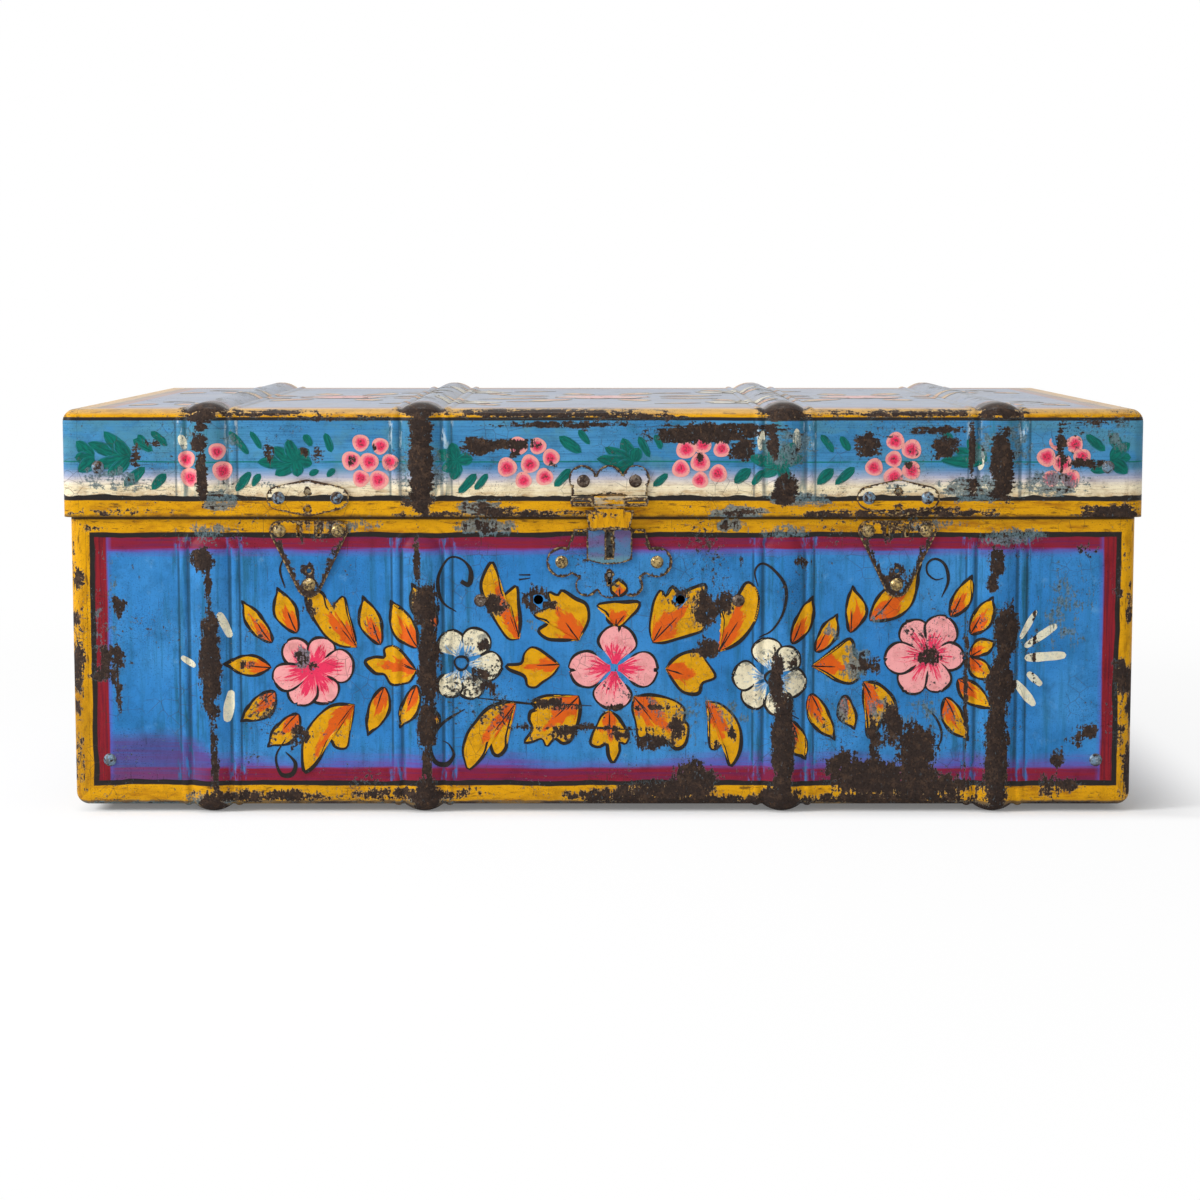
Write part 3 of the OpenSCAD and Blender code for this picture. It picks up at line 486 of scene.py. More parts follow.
def cut(obj, places):
    """Cuts round and square openings through a front sheet: x, z, half width, half height, round or not."""
    cutters = []
    depth = 16 * MM
    for x, z, half_w, half_h, is_round in places:
        location = (x * MM, -BODY.half_d * MM, z * MM)
        bpy.ops.object.select_all(action="DESELECT")
        if is_round:
            bpy.ops.mesh.primitive_cylinder_add(
                vertices=40, radius=half_w * MM, depth=depth, location=location, rotation=(math.pi / 2, 0, 0),
            )
        else:
            bpy.ops.mesh.primitive_cube_add(size=1, location=location)
            bpy.context.object.scale = (2 * half_w * MM, depth, 2 * half_h * MM)
        cutters.append(bpy.context.object)
    for cutter in cutters:
        cutter.select_set(True)
    bpy.context.view_layer.objects.active = cutters[0]
    bpy.ops.object.transform_apply(location=True, rotation=True, scale=True)
    bpy.ops.object.join()
    cutter = bpy.context.object
    apply_modifier(obj, "BOOLEAN", object=cutter, operation="DIFFERENCE", solver="EXACT")
    bpy.data.objects.remove(cutter)


def copy_node(node, name):
    """Copy of a node's mesh as one merged shell."""
    obj = add_object(name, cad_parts[node].data.copy())
    obj.data.name = name
    make_active(obj)
    if obj.data.has_custom_normals:
        bpy.ops.mesh.customdata_custom_splitnormals_clear()
    edit_all(obj, lambda: bpy.ops.mesh.remove_doubles(threshold=0.01 * MM))
    return obj


def front_outline(mesh):
    """Segments in millimetres where the front of a plate meets its edge faces."""
    fronts, sides = set(), set()
    for polygon in mesh.polygons:
        (fronts if polygon.normal.y < -0.85 else sides).update(polygon.edge_keys)
    co = coordinates(mesh)
    return np.array([(co[a], co[b]) for a, b in fronts & sides])


def to_outline(co, segments):
    """Distance of each place to the nearest segment."""
    nearest = np.full(len(co), 1e9)
    for start, stop in segments:
        run = stop - start
        along = np.clip((co - start) @ run / (run @ run + 1e-9), 0, 1)
        nearest = np.minimum(nearest, np.linalg.norm(co - start - along[:, None] * run, axis=1))
    return nearest


def dress_plate(node, name, finish, bevel, rusty):
    """Copy of a plate in small faces with rounded edges, whose fields mark its rubbed, rusty outline."""
    obj = copy_node(node, name)
    mesh = obj.data
    segments = front_outline(mesh)
    low, high = span(node)
    edit(obj, lambda: bpy.ops.mesh.select_mode(type="FACE"))
    for axis in (0, 2):
        count = round((high[axis] - low[axis]) / PLATE_STEP)
        slice_mesh(obj, axis, np.linspace(low[axis], high[axis], count + 1)[1:-1])
    apply_modifier(
        obj, "BEVEL", width=bevel * MM, segments=2, limit_method="ANGLE", angle_limit=math.radians(35),
    )
    co = coordinates(mesh)
    away = to_outline(co, segments)
    write_wear(mesh, "lid" if "keeper" in node or "hasp" in node else "body", co)
    write_field(mesh, "edge", np.clip(1.1 - away / PLATE_STEP, 0, 1))
    rust = np.empty(len(co))
    mesh.attributes["rust"].data.foreach_get("value", rust)
    outline = np.clip(0.95 - 0.5 * away / rusty, 0, 1)
    if node.startswith("catch_base"):
        outline[co[:, 2] > BAR_FOOT] *= 0.66
    write_field(mesh, "rust", np.maximum(rust, outline))
    set_finishes(mesh, finish)
    smooth(obj, 40)
    return obj


class Wire:
    """A socket of a node tree that stands in plain arithmetic."""

    def __init__(self, shade, socket):
        self.shade, self.socket = shade, socket

    def do(self, operation, *values):
        """Arithmetic in a node of its own."""
        return self.shade.node("ShaderNodeMath", {"operation": operation}, values)

    def __add__(self, other):
        return self.do("ADD", self, other)

    def __sub__(self, other):
        return self.do("SUBTRACT", self, other)

    def __rsub__(self, other):
        return self.do("SUBTRACT", other, self)

    def __mul__(self, other):
        return self.do("MULTIPLY", self, other)

    def __truediv__(self, other):
        return self.do("DIVIDE", self, other)

    def __gt__(self, other):
        return self.do("GREATER_THAN", self, other)

    def __lt__(self, other):
        return self.do("LESS_THAN", self, other)

    def __neg__(self):
        return self.do("MULTIPLY", self, -1)

    def __abs__(self):
        return self.do("ABSOLUTE", self)

    __radd__ = __add__
    __rmul__ = __mul__

    def least(self, other):
        """Smaller of two values."""
        return self.do("MINIMUM", self, other)

    def most(self, other):
        """Larger of two values."""
        return self.do("MAXIMUM", self, other)


class Nodes:
    """Node tree of a material or a world, cleared."""

    def __init__(self, owner):
        owner.use_nodes = True
        self.tree = owner.node_tree
        self.tree.nodes.clear()

    def node(self, kind, settings=None, inputs=(), out=0):
        """Adds a node, sets it up first, then gives its sockets values or links."""
        node = self.tree.nodes.new(kind)
        for key, value in (settings or {}).items():
            setattr(node, key, value)
        pairs = inputs.items() if isinstance(inputs, dict) else enumerate(inputs)
        for key, value in pairs:
            if isinstance(value, Wire):
                self.tree.links.new(value.socket, node.inputs[key])
            elif value is not None:
                node.inputs[key].default_value = value
        return None if out is None else Wire(self, node.outputs[out])

    def seen(self):
        """1 for rays from the camera and for those that mirrors and glass send on."""
        seen = self.node("ShaderNodeLightPath", out="Is Camera Ray")
        path = seen.socket.node
        for kind in ("Is Glossy Ray", "Is Transmission Ray"):
            seen = seen.most(Wire(self, path.outputs[kind]))
        return seen


class Shade(Nodes):
    """Node tree of one finish, with place p in millimetres and its parts x, y and z."""

    def __init__(self, name):
        self.material = bpy.data.materials.new(name)
        super().__init__(self.material)
        place = self.node("ShaderNodeTexCoord", out="Object")
        self.p = self.vector("SCALE", place, scale=1 / MM)
        self.x, self.y, self.z = self.split(self.p)

    def split(self, vector):
        """The three parts of a vector."""
        node = self.node("ShaderNodeSeparateXYZ", inputs=(vector,)).socket.node
        return [Wire(self, socket) for socket in node.outputs]

    def vector(self, operation, *values, scale=None, out=0):
        """Vector arithmetic, with scale for the operation that takes a number."""
        inputs = dict(enumerate(values))
        if scale is not None:
            inputs["Scale"] = scale
        return self.node("ShaderNodeVectorMath", {"operation": operation}, inputs, out)

    def field(self, name):
        """A number stored on the vertices, 0 where a piece has none."""
        return self.node("ShaderNodeAttribute", {"attribute_name": name}, out="Fac")

    def ramp(self, value, low, high):
        """0 below low, 1 above high and smooth between."""
        settings = {"interpolation_type": "SMOOTHSTEP", "clamp": True}
        return self.node("ShaderNodeMapRange", settings, {0: value, 1: low, 2: high, 3: 0.0, 4: 1.0})

    def band(self, value, half, soft):
        """1 within half of zero."""
        return self.ramp(abs(value), half + soft, half)

    def mix(self, factor, a, b, blend="MIX"):
        """Colour between a and b."""
        a, b = ((*c, 1) if isinstance(c, tuple) and len(c) == 3 else c for c in (a, b))
        settings = {"data_type": "RGBA", "blend_type": blend, "clamp_factor": True}
        return self.node("ShaderNodeMix", settings, {0: factor, 6: a, 7: b}, out=2)

    def blend(self, factor, a, b):
        """Number between a and b."""
        return self.node("ShaderNodeMix", {"data_type": "FLOAT"}, {0: factor, 2: a, 3: b})

    def noise(self, size, detail=3.0, rough=0.5, stretch=(1, 1, 1), shift=0.0):
        """Noise between 0 and 1 whose grains are size wide."""
        scale = tuple(1 / (size * s) for s in stretch)
        place = self.vector("MULTIPLY_ADD", self.p, scale, (shift, 0.7 * shift, -0.4 * shift))
        inputs = {"Vector": place, "Scale": 1.0, "Detail": detail, "Roughness": rough}
        return self.node("ShaderNodeTexNoise", inputs=inputs)

    def cells(self, size, shift):
        """Distance to the edge of cells drawn on a plane that is neither level nor square to any face."""
        across, up = (self.x + self.y) / size + shift, (self.z + self.y * 0.6) / size
        place = self.node("ShaderNodeCombineXYZ", inputs=(across, up))
        settings = {"feature": "DISTANCE_TO_EDGE", "voronoi_dimensions": "2D"}
        return self.node("ShaderNodeTexVoronoi", settings, {"Vector": place, "Scale": 1.0})

    def close(self, colour, rough, height, metallic=0.0, depth=0.2):
        """Joins colour, roughness and relief in one shader."""
        relief = {"Strength": 1.0, "Distance": depth * MM, "Height": height}
        inputs = {
            "Base Color": colour, "Roughness": rough, "Metallic": metallic,
            "Normal": self.node("ShaderNodeBump", inputs=relief, out="Normal"),
            "Specular IOR Level": 0.14,
        }
        shader = self.node("ShaderNodeBsdfPrincipled", inputs=inputs)
        self.node("ShaderNodeOutputMaterial", inputs=(shader,), out=None)
        return self.material


def rust_colour(s, c):
    """Dark brown rust with lighter bloom, tan flecks and specks of left paint."""
    bloom = s.ramp(s.noise(5.0, 5, 0.65, shift=3.1), 0.45, 0.7)
    colour = s.mix(bloom, tuple(c.rust), rgb(77, 60, 49))
    colour = s.mix(s.ramp(s.noise(1.4, 4, 0.66, shift=9.0), 0.48, 0.66) * 0.8, colour, rgb(34, 26, 22))
    fleck = s.noise(1.9, 5, 0.7, stretch=(1, 1, 2), shift=37.0)
    colour = s.mix(s.ramp(fleck, 0.6, 0.66) * 0.65, colour, rgb(108, 80, 56))
    return s.mix(s.ramp(fleck, 0.38, 0.33) * 0.6, colour, rgb(88, 104, 112))


def weather(s, c, colour, spare=1.0, vertical=True, worn=0.0):
    """Colour, roughness and relief of a painted finish with its chips, primer, rust and scratches."""
    rust, rubbed, edge = s.field("rust"), s.field("rubbed"), s.field("edge")
    common = s.noise(46, 3, 0.55, shift=2.2)
    ragged = s.noise(6.5, 8, 0.68, shift=5.5)
    fine = s.noise(1.3, 4, 0.6, shift=7.1)
    stretch = (1, 1, 9) if vertical else (9, 9, 1)
    drag = s.noise(1.5, 4, 0.6, stretch=stretch, shift=1.3)
    broken = (ragged - 0.5) * 1.5 + (drag - 0.5) * 0.9 + (fine - 0.5) * 0.7
    level = rust.least(1.02) + broken * 1.15
    chips = s.noise(2.4, 6, 0.66, shift=11.0) + (common - 0.5) * 0.62 * spare + worn
    fringe = s.ramp(level, 0.44, 0.5) * 0.6
    rub = s.ramp(rubbed + broken * 1.1, 0.46, 0.62)
    primer = fringe.most(rub * 0.95).most(s.ramp(chips, 0.675, 0.69) * 0.7)
    bare = s.ramp(level, 0.5, 0.545).most(s.ramp(chips, 0.705, 0.72) * 0.95)
    bare = bare.most(s.ramp(rubbed + broken * 1.3, 0.84, 0.94))
    metal = s.ramp(edge + broken * 0.6, 0.6, 0.8)
    along = (1, 1, 26) if vertical else (34, 34, 1)
    hair = s.ramp(s.noise(0.7, 2, 0.5, stretch=along, shift=4.4), 0.68, 0.74)
    hair = hair * s.ramp(common, 0.42, 0.6) * 0.75
    crackle = s.ramp(s.cells(7.5, shift=1.7), 0.03, 0.01) * s.ramp(s.noise(30, 2, 0.5, shift=6.0), 0.54, 0.66)
    grime = s.ramp(s.noise(13, 6, 0.72, shift=8.4), 0.46, 0.8)
    peppered = s.ramp(s.noise(0.8, 3, 0.62, shift=17.0) + (common - 0.5) * 0.3, 0.6, 0.72) * 0.75
    colour = s.mix(grime * 0.5, colour, s.mix(1.0, colour, rgb(150, 128, 104), "MULTIPLY"))
    colour = s.mix(peppered, colour, s.mix(1.0, colour, rgb(120, 96, 84), "MULTIPLY"))
    colour = s.mix(crackle * 0.55, colour, rgb(62, 50, 40))
    primer_colour = s.mix(s.ramp(fine, 0.4, 0.62), tuple(c.primer), rgb(68, 88, 92))
    colour = s.mix(primer * 0.9, colour, primer_colour)
    colour = s.mix(hair, colour, rgb(48, 40, 36))
    colour = s.mix(bare, colour, rust_colour(s, c))
    brass = s.mix(s.ramp(s.noise(2.0, 3, 0.6, shift=23.0), 0.48, 0.62), rgb(64, 46, 34), rgb(168, 142, 96))
    colour = s.mix(metal * 0.9, colour, brass)
    rough = s.blend(bare, 0.4 + grime * 0.16 + fine * 0.1, 0.85)
    rough = s.blend(metal, rough, 0.5)
    grit = s.noise(0.8, 3, 0.6, shift=1.9)
    pits = (1 - bare) * 0.55 + fine * 0.22 + (1 - primer) * 0.25 + bare * grit * 0.6
    lines = s.noise(0.9, 2, 0.5, stretch=stretch, shift=2.9)
    height = pits - crackle * 0.3 - hair * 0.15 + lines * 0.12
    return colour, rough, height


def rib_distance(s):
    """Distance from the middle line of the nearest rib."""
    side = abs(s.x)
    return abs(side - RIB_XS[2]).least(abs(side - RIB_XS[3]))


def grooves(s, rib, is_end):
    """1 in the narrow grooves on both sides of each flanking bead."""
    return (s.band(rib - 12.8, 0.4, 1.3) + s.band(rib - 18.9, 0.2, 0.9)) * (1 - is_end)


def field_blue(s, c, is_end):
    """Blue ground with brush streaks, teal runs, and dirt with painted shade in the grooves beside the ribs.
    """
    colour = s.mix(s.ramp(s.noise(70, 3, 0.5, shift=0.4), 0.35, 0.68), tuple(c.blue), rgb(62, 140, 204))
    deep = s.ramp(s.noise(26, 6, 0.66, shift=44.0), 0.46, 0.68)
    colour = s.mix(deep * 0.6, colour, rgb(34, 104, 158))
    runs = s.ramp(s.noise(4.5, 6, 0.66, stretch=(1, 1, 13), shift=3.3), 0.46, 0.7)
    rib = rib_distance(s)
    near = s.ramp(rib, 46, 12) * (1 - is_end) * 0.55 + 0.35
    colour = s.mix(runs * near, colour, rgb(30, 92, 112))
    spots = s.ramp(s.noise(1.0, 3, 0.7, shift=6.6), 0.54, 0.74)
    colour = s.mix(spots * 0.6, colour, rgb(28, 76, 116))
    pale = s.ramp(s.noise(9, 4, 0.6, shift=12.0), 0.6, 0.85)
    colour = s.mix(pale * 0.4, colour, rgb(124, 178, 214))
    # Dark grooves beside the ribs: dirt, and painted shade of the pressed grooves
    return s.mix(grooves(s, rib, is_end) * 0.72, colour, rgb(28, 62, 78))


def yellow_ground(s, c, vertical=False):
    """Yellow paint with ochre stains and brown specks."""
    stretch = (1, 1, 5) if vertical else (5, 5, 1)
    stain = s.ramp(s.noise(5, 5, 0.66, stretch=stretch, shift=1.1), 0.46, 0.74)
    colour = s.mix(stain * 0.85, tuple(c.yellow), rgb(160, 100, 6))
    soiled = s.ramp(s.noise(22, 5, 0.66, stretch=stretch, shift=27.0), 0.46, 0.7)
    colour = s.mix(soiled * (0.5 if vertical else 0.2), colour, rgb(138, 94, 14))
    dirt = s.ramp(s.noise(2.2, 5, 0.68, stretch=stretch, shift=19.0), 0.56, 0.68)
    colour = s.mix(dirt * 0.8, colour, rgb(88, 58, 20))
    speck = s.ramp(s.noise(0.9, 2, 0.6, shift=15.0), 0.64, 0.72)
    return s.mix(speck * 0.7, colour, rgb(84, 54, 22))


def framed_panel(s, c, left, right, top, bottom, is_end):
    """Blue panel in a crimson band with a black line round it, on yellow."""
    wob = (s.noise(38, 3, 0.55, shift=4.0) - 0.5) * 3.4
    thick = s.noise(24, 2, 0.5, shift=8.0) * 2.4 + 1.1
    sides, ends = left.least(right), top.least(bottom)
    inside = sides.least(ends) + wob
    blue = field_blue(s, c, is_end)
    streak = s.noise(1.4, 4, 0.6, stretch=(30, 30, 1), shift=2.0)
    streak_up = s.noise(1.4, 4, 0.6, stretch=(1, 1, 30), shift=2.0)
    red = s.mix(s.ramp(streak, 0.4, 0.66), tuple(c.crimson), rgb(112, 30, 72))
    side_red = s.mix(s.ramp(streak_up, 0.4, 0.66), rgb(140, 28, 38), rgb(104, 22, 40))
    violet = s.mix(s.ramp(streak, 0.35, 0.7), tuple(c.purple), rgb(86, 84, 176))
    loose = (streak - 0.5) * 5 + wob
    murky = s.mix(s.ramp(streak, 0.35, 0.7), rgb(84, 52, 108), rgb(70, 70, 132))
    haze = (s.noise(80, 3, 0.6, shift=47.0) - 0.5) * 22
    patch = s.ramp(s.x + (streak_up - 0.5) * 16, -236, -258) * (s.z < 60)
    rib = rib_distance(s)
    drips = s.ramp(s.noise(2.6, 4, 0.6, stretch=(1, 1, 3), shift=27.0), 0.44, 0.6)
    kept = 1 - drips * (s.band(rib - 13.5, 1.2, 2.5).most(s.band(rib - 19.5, 0.8, 1.8))) * (1 - is_end) * 0.85
    colour = s.mix(s.ramp(top + loose, 16, 9) * 0.9 * kept, blue, violet)
    fade = s.ramp(bottom + loose + haze - patch * 13, 23, 10) * 0.85 * kept
    colour = s.mix(fade, colour, s.mix(patch * 0.85, violet, murky))
    colour = s.mix(s.ramp(top + loose * 0.7, 11.4, 8.8) * kept, colour, red)
    colour = s.mix(s.ramp(bottom + loose * 0.7, 12.8, 9.8) * kept * (1 - patch * 0.55), colour, red)
    edge_up = (streak_up - 0.5) * 2.2
    colour = s.mix(s.ramp(sides + edge_up, 14, 9.5) * 0.65, colour, rgb(84, 92, 190))
    colour = s.mix(s.ramp(sides + edge_up, 11.0, 9.6), colour, side_red)
    black = s.mix(s.ramp(streak, 0.6, 0.8), tuple(c.black), rgb(62, 52, 48))
    colour = s.mix(s.ramp(inside - thick, 1.0, 0.5), colour, black)
    border = s.mix(sides > ends, yellow_ground(s, c, True), yellow_ground(s, c))
    return s.mix(s.ramp(inside, 0.1, -0.4), colour, border)


def tub_faces(s, tub):
    """1 on the ends and 1 on the closed side of a tub."""
    front, back = -s.y - tub.half_d, s.y - tub.half_d
    end = abs(s.x) - tub.half_w
    flat = (tub.base - s.z) * tub.up
    is_end = end > front.most(back).most(flat)
    is_flat = flat > front.most(back).most(end)
    return is_end, is_flat


def slow_waves(s):
    """Hand-beaten unevenness of the whole sheet, for the relief."""
    return s.noise(55, 2, 0.5, shift=21.0) * 6


def body_finish(c):
    """Painted outside of the body."""
    s = Shade("body_paint")
    is_end, is_flat = tub_faces(s, BODY)
    across = BODY.half_d - FRAME_CORNER - abs(s.y)
    left = s.blend(is_end, s.x + FRAME_LEFT, across)
    right = s.blend(is_end, FRAME_RIGHT - s.x, across)
    top, bottom = FRAME_TOP - s.z, s.z - FRAME_FOOT
    colour = framed_panel(s, c, left, right, top, bottom, is_end)
    low = s.ramp(s.z + (s.noise(16, 4, 0.6, shift=3.7) - 0.5) * 5, 8.0, 6.4)
    mud = s.mix(s.noise(5, 3, 0.6, shift=2.7), rgb(112, 104, 88), rgb(60, 44, 32))
    colour = s.mix(low * 0.85, colour, mud)
    under = s.mix(s.ramp(s.noise(24, 5, 0.6), 0.42, 0.6), rgb(132, 104, 58), rgb(58, 44, 38))
    colour = s.mix(is_flat, colour, under)
    # Painted shadow: the top of the body just under the lid's rim is darkened where the lid's overhang shades
    # it
    colour = s.mix(s.ramp(s.z, 182.9, 183.9) * 0.94, colour, rgb(26, 20, 16))
    colour, rough, height = weather(s, c, colour)
    return s.close(colour, rough, height + slow_waves(s) * 0.4, depth=0.25)


def lid_blue(s, brush):
    """Blue ground of the lid with brush streaks, stains and haze."""
    blue = s.mix(s.ramp(s.noise(60, 3, 0.5, shift=0.9), 0.35, 0.68), rgb(58, 130, 182), rgb(76, 148, 196))
    blue = s.mix(s.ramp(brush, 0.42, 0.75) * 0.7, blue, rgb(44, 96, 142))
    stain = s.ramp(s.noise(14, 6, 0.7, stretch=(2, 2, 1), shift=13.0), 0.5, 0.72)
    blue = s.mix(stain * 0.5, blue, rgb(40, 104, 124))
    haze = s.ramp(s.noise(26, 6, 0.7, stretch=(2, 2, 1), shift=41.0), 0.46, 0.6)
    return s.mix(haze * 0.6, blue, rgb(80, 138, 154))


def lid_cream(s, c, brush, z):
    """Cream strip of the lid with tan streaks, soil along its foot and scraped lines."""
    cream = s.mix(s.ramp(brush, 0.42, 0.7), tuple(c.cream), rgb(228, 211, 168))
    tan = s.ramp(s.noise(2.2, 5, 0.66, stretch=(6, 6, 1), shift=8.8), 0.5, 0.7)
    cream = s.mix(tan * 0.65, cream, rgb(182, 148, 104))
    soil = s.ramp(z + (brush - 0.5) * 7, 203.5, 198) * s.ramp(s.noise(9, 5, 0.66, shift=36.0), 0.36, 0.62)
    cream = s.mix(soil * 0.6, cream, rgb(166, 122, 62))
    scraped = s.ramp(s.noise(1.2, 5, 0.7, stretch=(7, 7, 1), shift=33.0), 0.59, 0.65)
    return s.mix(scraped * 0.7, cream, rgb(84, 68, 50))


def lid_finish(c):
    """Painted outside of the lid."""
    s = Shade("lid_paint")
    is_end, is_flat = tub_faces(s, LID)
    brush = s.noise(0.9, 5, 0.62, stretch=(40, 40, 1), shift=3.0)
    wob = (s.noise(50, 3, 0.55, shift=1.0) - 0.5) * 3
    z = s.z + wob * 0.6
    colour = s.mix(s.ramp(z + (brush - 0.5) * 4, 217, 206), lid_blue(s, brush), rgb(190, 186, 204))
    colour = s.mix(s.ramp(z + (brush - 0.5) * 5, 211, 203), colour, lid_cream(s, c, brush, z))
    vine = s.band(s.z - 219.3 + wob * 0.5, 0.25, 0.35) * s.ramp(s.noise(60, 2, 0.5, shift=31), 0.36, 0.46)
    colour = s.mix(vine * 0.9, colour, tuple(c.green))
    rib = rib_distance(s)
    # Dark grooves beside the ribs of the lid: dirt, and painted shade of the pressed grooves
    colour = s.mix(grooves(s, rib, is_end) * 0.6, colour, rgb(42, 72, 86))
    # Painted highlight: pale glints down the flanks of the ribs on the upper lid front
    glint = s.ramp(s.noise(3.0, 4, 0.6, stretch=(1, 1, 4), shift=24.0), 0.52, 0.62) * s.ramp(s.z, 222, 232)
    colour = s.mix(glint * s.band(rib - 15.5, 2.4, 3.0) * (1 - is_end) * 0.75, colour, rgb(196, 216, 226))
    runs = s.ramp(s.noise(3.2, 5, 0.62, stretch=(1, 1, 12), shift=5.3), 0.48, 0.7)
    colour = s.mix(runs * s.ramp(rib, 24, 14) * (1 - is_end) * 0.6, colour, rgb(44, 116, 124))
    thick = s.noise(20, 3, 0.55, shift=5.0) * 5.8 - 1.0
    colour = s.mix(s.band(z - 196.2, thick, 0.5), colour, tuple(c.black))
    colour = s.mix(s.ramp(z, 195.4, 194.8), colour, yellow_ground(s, c))
    edge_z = s.z + wob * 0.25
    colour = s.mix(s.ramp(edge_z, 244.4, 244.8), colour, tuple(c.black))
    colour = s.mix(s.ramp(edge_z, 246.5, 246.9), colour, yellow_ground(s, c))
    # Pale cast over the rounded top edge: dust, and painted sheen where the edge turns upwards
    colour = s.mix(s.ramp(s.z, 247.6, 250.4) * 0.4, colour, rgb(192, 178, 148))
    across_x, across_y = 316 - abs(s.x), 191 - abs(s.y)
    top = framed_panel(s, c, across_x, across_x, across_y, across_y, is_end)
    # Pale wash over the whole top: dust, and painted sheen of the top seen at a low angle
    dust_and_sheen = s.noise(40, 5, 0.62, stretch=(2, 1, 1), shift=14.0)
    top = s.mix(0.38 + dust_and_sheen * 0.35, top, rgb(174, 160, 144))
    colour = s.mix(is_flat * (1 - s.ramp(across_y.least(across_x), -4, -6)), colour, top)
    low = s.ramp(s.z + (s.noise(12, 4, 0.66, shift=6.2) - 0.5) * 4, 187.4, 185.2)
    colour = s.mix(low * 0.85, colour, rgb(58, 42, 26))
    colour, rough, height = weather(s, c, colour, vertical=False)
    rough = s.blend(is_flat, rough, 0.24 + brush * 0.12)
    return s.close(colour, rough, height + brush * 0.2 + slow_waves(s) * 0.4, depth=0.25)


def inside_finish(c):
    """Dull zinc on the inside of the sheets, with spangle and rust bloom."""
    s = Shade("inside_zinc")
    place = s.vector("MULTIPLY", s.p, (0.12, 0.12, 0.12))
    cell = s.node("ShaderNodeTexVoronoi", inputs={"Vector": place, "Scale": 1.0}, out="Color")
    colour = s.mix(s.split(cell)[0], rgb(138, 142, 144), rgb(112, 117, 121))
    colour = s.mix(s.ramp(s.noise(60, 5, 0.62), 0.42, 0.7) * 0.75, colour, rgb(116, 104, 88))
    streak = s.ramp(s.noise(6, 5, 0.66, stretch=(1, 1, 7), shift=15.0), 0.54, 0.74)
    colour = s.mix(streak * 0.4, colour, rgb(92, 84, 76))
    common = s.ramp(s.noise(120, 2, 0.5, shift=7.0), 0.38, 0.62)
    bloom = s.ramp(s.noise(11, 8, 0.7, shift=4.0) + common * 0.1, 0.62, 0.7)
    colour = s.mix(bloom, colour, rust_colour(s, c))
    rough = s.blend(bloom, 0.42 + s.noise(3, 3, 0.5) * 0.2, 0.85)
    height = s.noise(1.4, 4, 0.6) * 0.5 + bloom * 0.3 + slow_waves(s) * 0.4
    return s.close(colour, rough, height, metallic=(1 - bloom) * 0.7)


def film_finish(name, c, paint, worn):
    """Thin brush paint on top of a sheet. paint gives its colour from the stroke's own UV."""
    s = Shade(name)
    uv = s.node("ShaderNodeUVMap", {"uv_map": "UVMap"})
    s.u, s.v = s.split(uv)[:2]
    colour = paint(s, c)
    # Strokes on the top are paled like the lid's top: dust, and painted sheen of the top seen at a low angle
    on_top = s.ramp(s.z, LID.base - 1.6, LID.base - 0.6)
    colour = s.mix(on_top * 0.5, colour, rgb(184, 176, 162))
    colour, rough, height = weather(s, c, colour, 1.3, worn=worn)
    return s.close(colour, s.blend(on_top, rough, 0.28), height, depth=0.2)


def leaf_paint(s, c):
    """Yellow leaf with an orange flame from its stalk."""
    marks = brush_marks(s, 8)
    flame = 0.74 - s.u * 0.98 - abs(s.v - 0.5) * 0.95 + (marks - 0.5) * 1.1
    colour = s.mix(s.ramp(s.noise(5, 3, 0.6), 0.45, 0.7) * 0.6, tuple(c.yellow), rgb(172, 122, 8))
    thin = s.ramp(s.noise(1.5, 5, 0.7, shift=52.0), 0.61, 0.68)
    colour = s.mix(thin * 0.6, colour, rgb(92, 124, 132))
    dry = s.ramp(marks + (s.noise(2.0, 4, 0.66, shift=8.0) - 0.5) * 0.6, 0.62, 0.72)
    orange = s.mix(s.noise(3, 2, 0.5), tuple(c.orange), rgb(208, 96, 20))
    orange = s.mix(dry * 0.6, orange, rgb(150, 84, 44))
    return s.mix(s.ramp(flame, 0.0, 0.12), colour, orange)


def brush_marks(s, across):
    """Streaks of a brush that runs along a stroke's own length, different in each stroke."""
    place = s.node("ShaderNodeCombineXYZ", inputs=(s.u * 2, s.v * across, s.noise(30, 1) * 9))
    inputs = {"Vector": place, "Scale": 1.0, "Detail": 4.0, "Roughness": 0.6}
    return s.node("ShaderNodeTexNoise", inputs=inputs)


def pink_paint(s, c):
    """Pink petal with crimson brush marks that run out from the heart of the flower."""
    colour = s.mix(s.ramp(s.noise(4, 3, 0.6), 0.45, 0.75) * 0.5, tuple(c.pink), rgb(222, 140, 140))
    rays = brush_marks(s, 13)
    mark = 0.50 + s.ramp(s.x, -100, -140) * 0.14 - s.u * 0.95 - abs(s.v - 0.5) * 0.55 + (rays - 0.5) * 1.7
    colour = s.mix(s.ramp(mark, -0.16, 0.0) * 0.5, colour, rgb(236, 122, 138))
    return s.mix(s.ramp(mark, 0.0, 0.07), colour, tuple(c.berry))


def white_paint(s, c):
    """Cream petal, thin and bluish in streaks and towards the heart of the flower."""
    colour = s.mix(s.ramp(s.noise(3, 3, 0.6), 0.5, 0.75) * 0.5, rgb(232, 222, 190), rgb(196, 186, 152))
    smudge = s.ramp(s.noise(7, 5, 0.68, shift=18.0), 0.52, 0.62)
    colour = s.mix(smudge * 0.75, colour, rgb(98, 106, 106))
    thin = s.ramp(0.3 - s.u * 0.9 + (brush_marks(s, 9) - 0.5) * 2.0, 0.0, 0.2)
    return s.mix(thin * 0.9, colour, rgb(84, 150, 204))


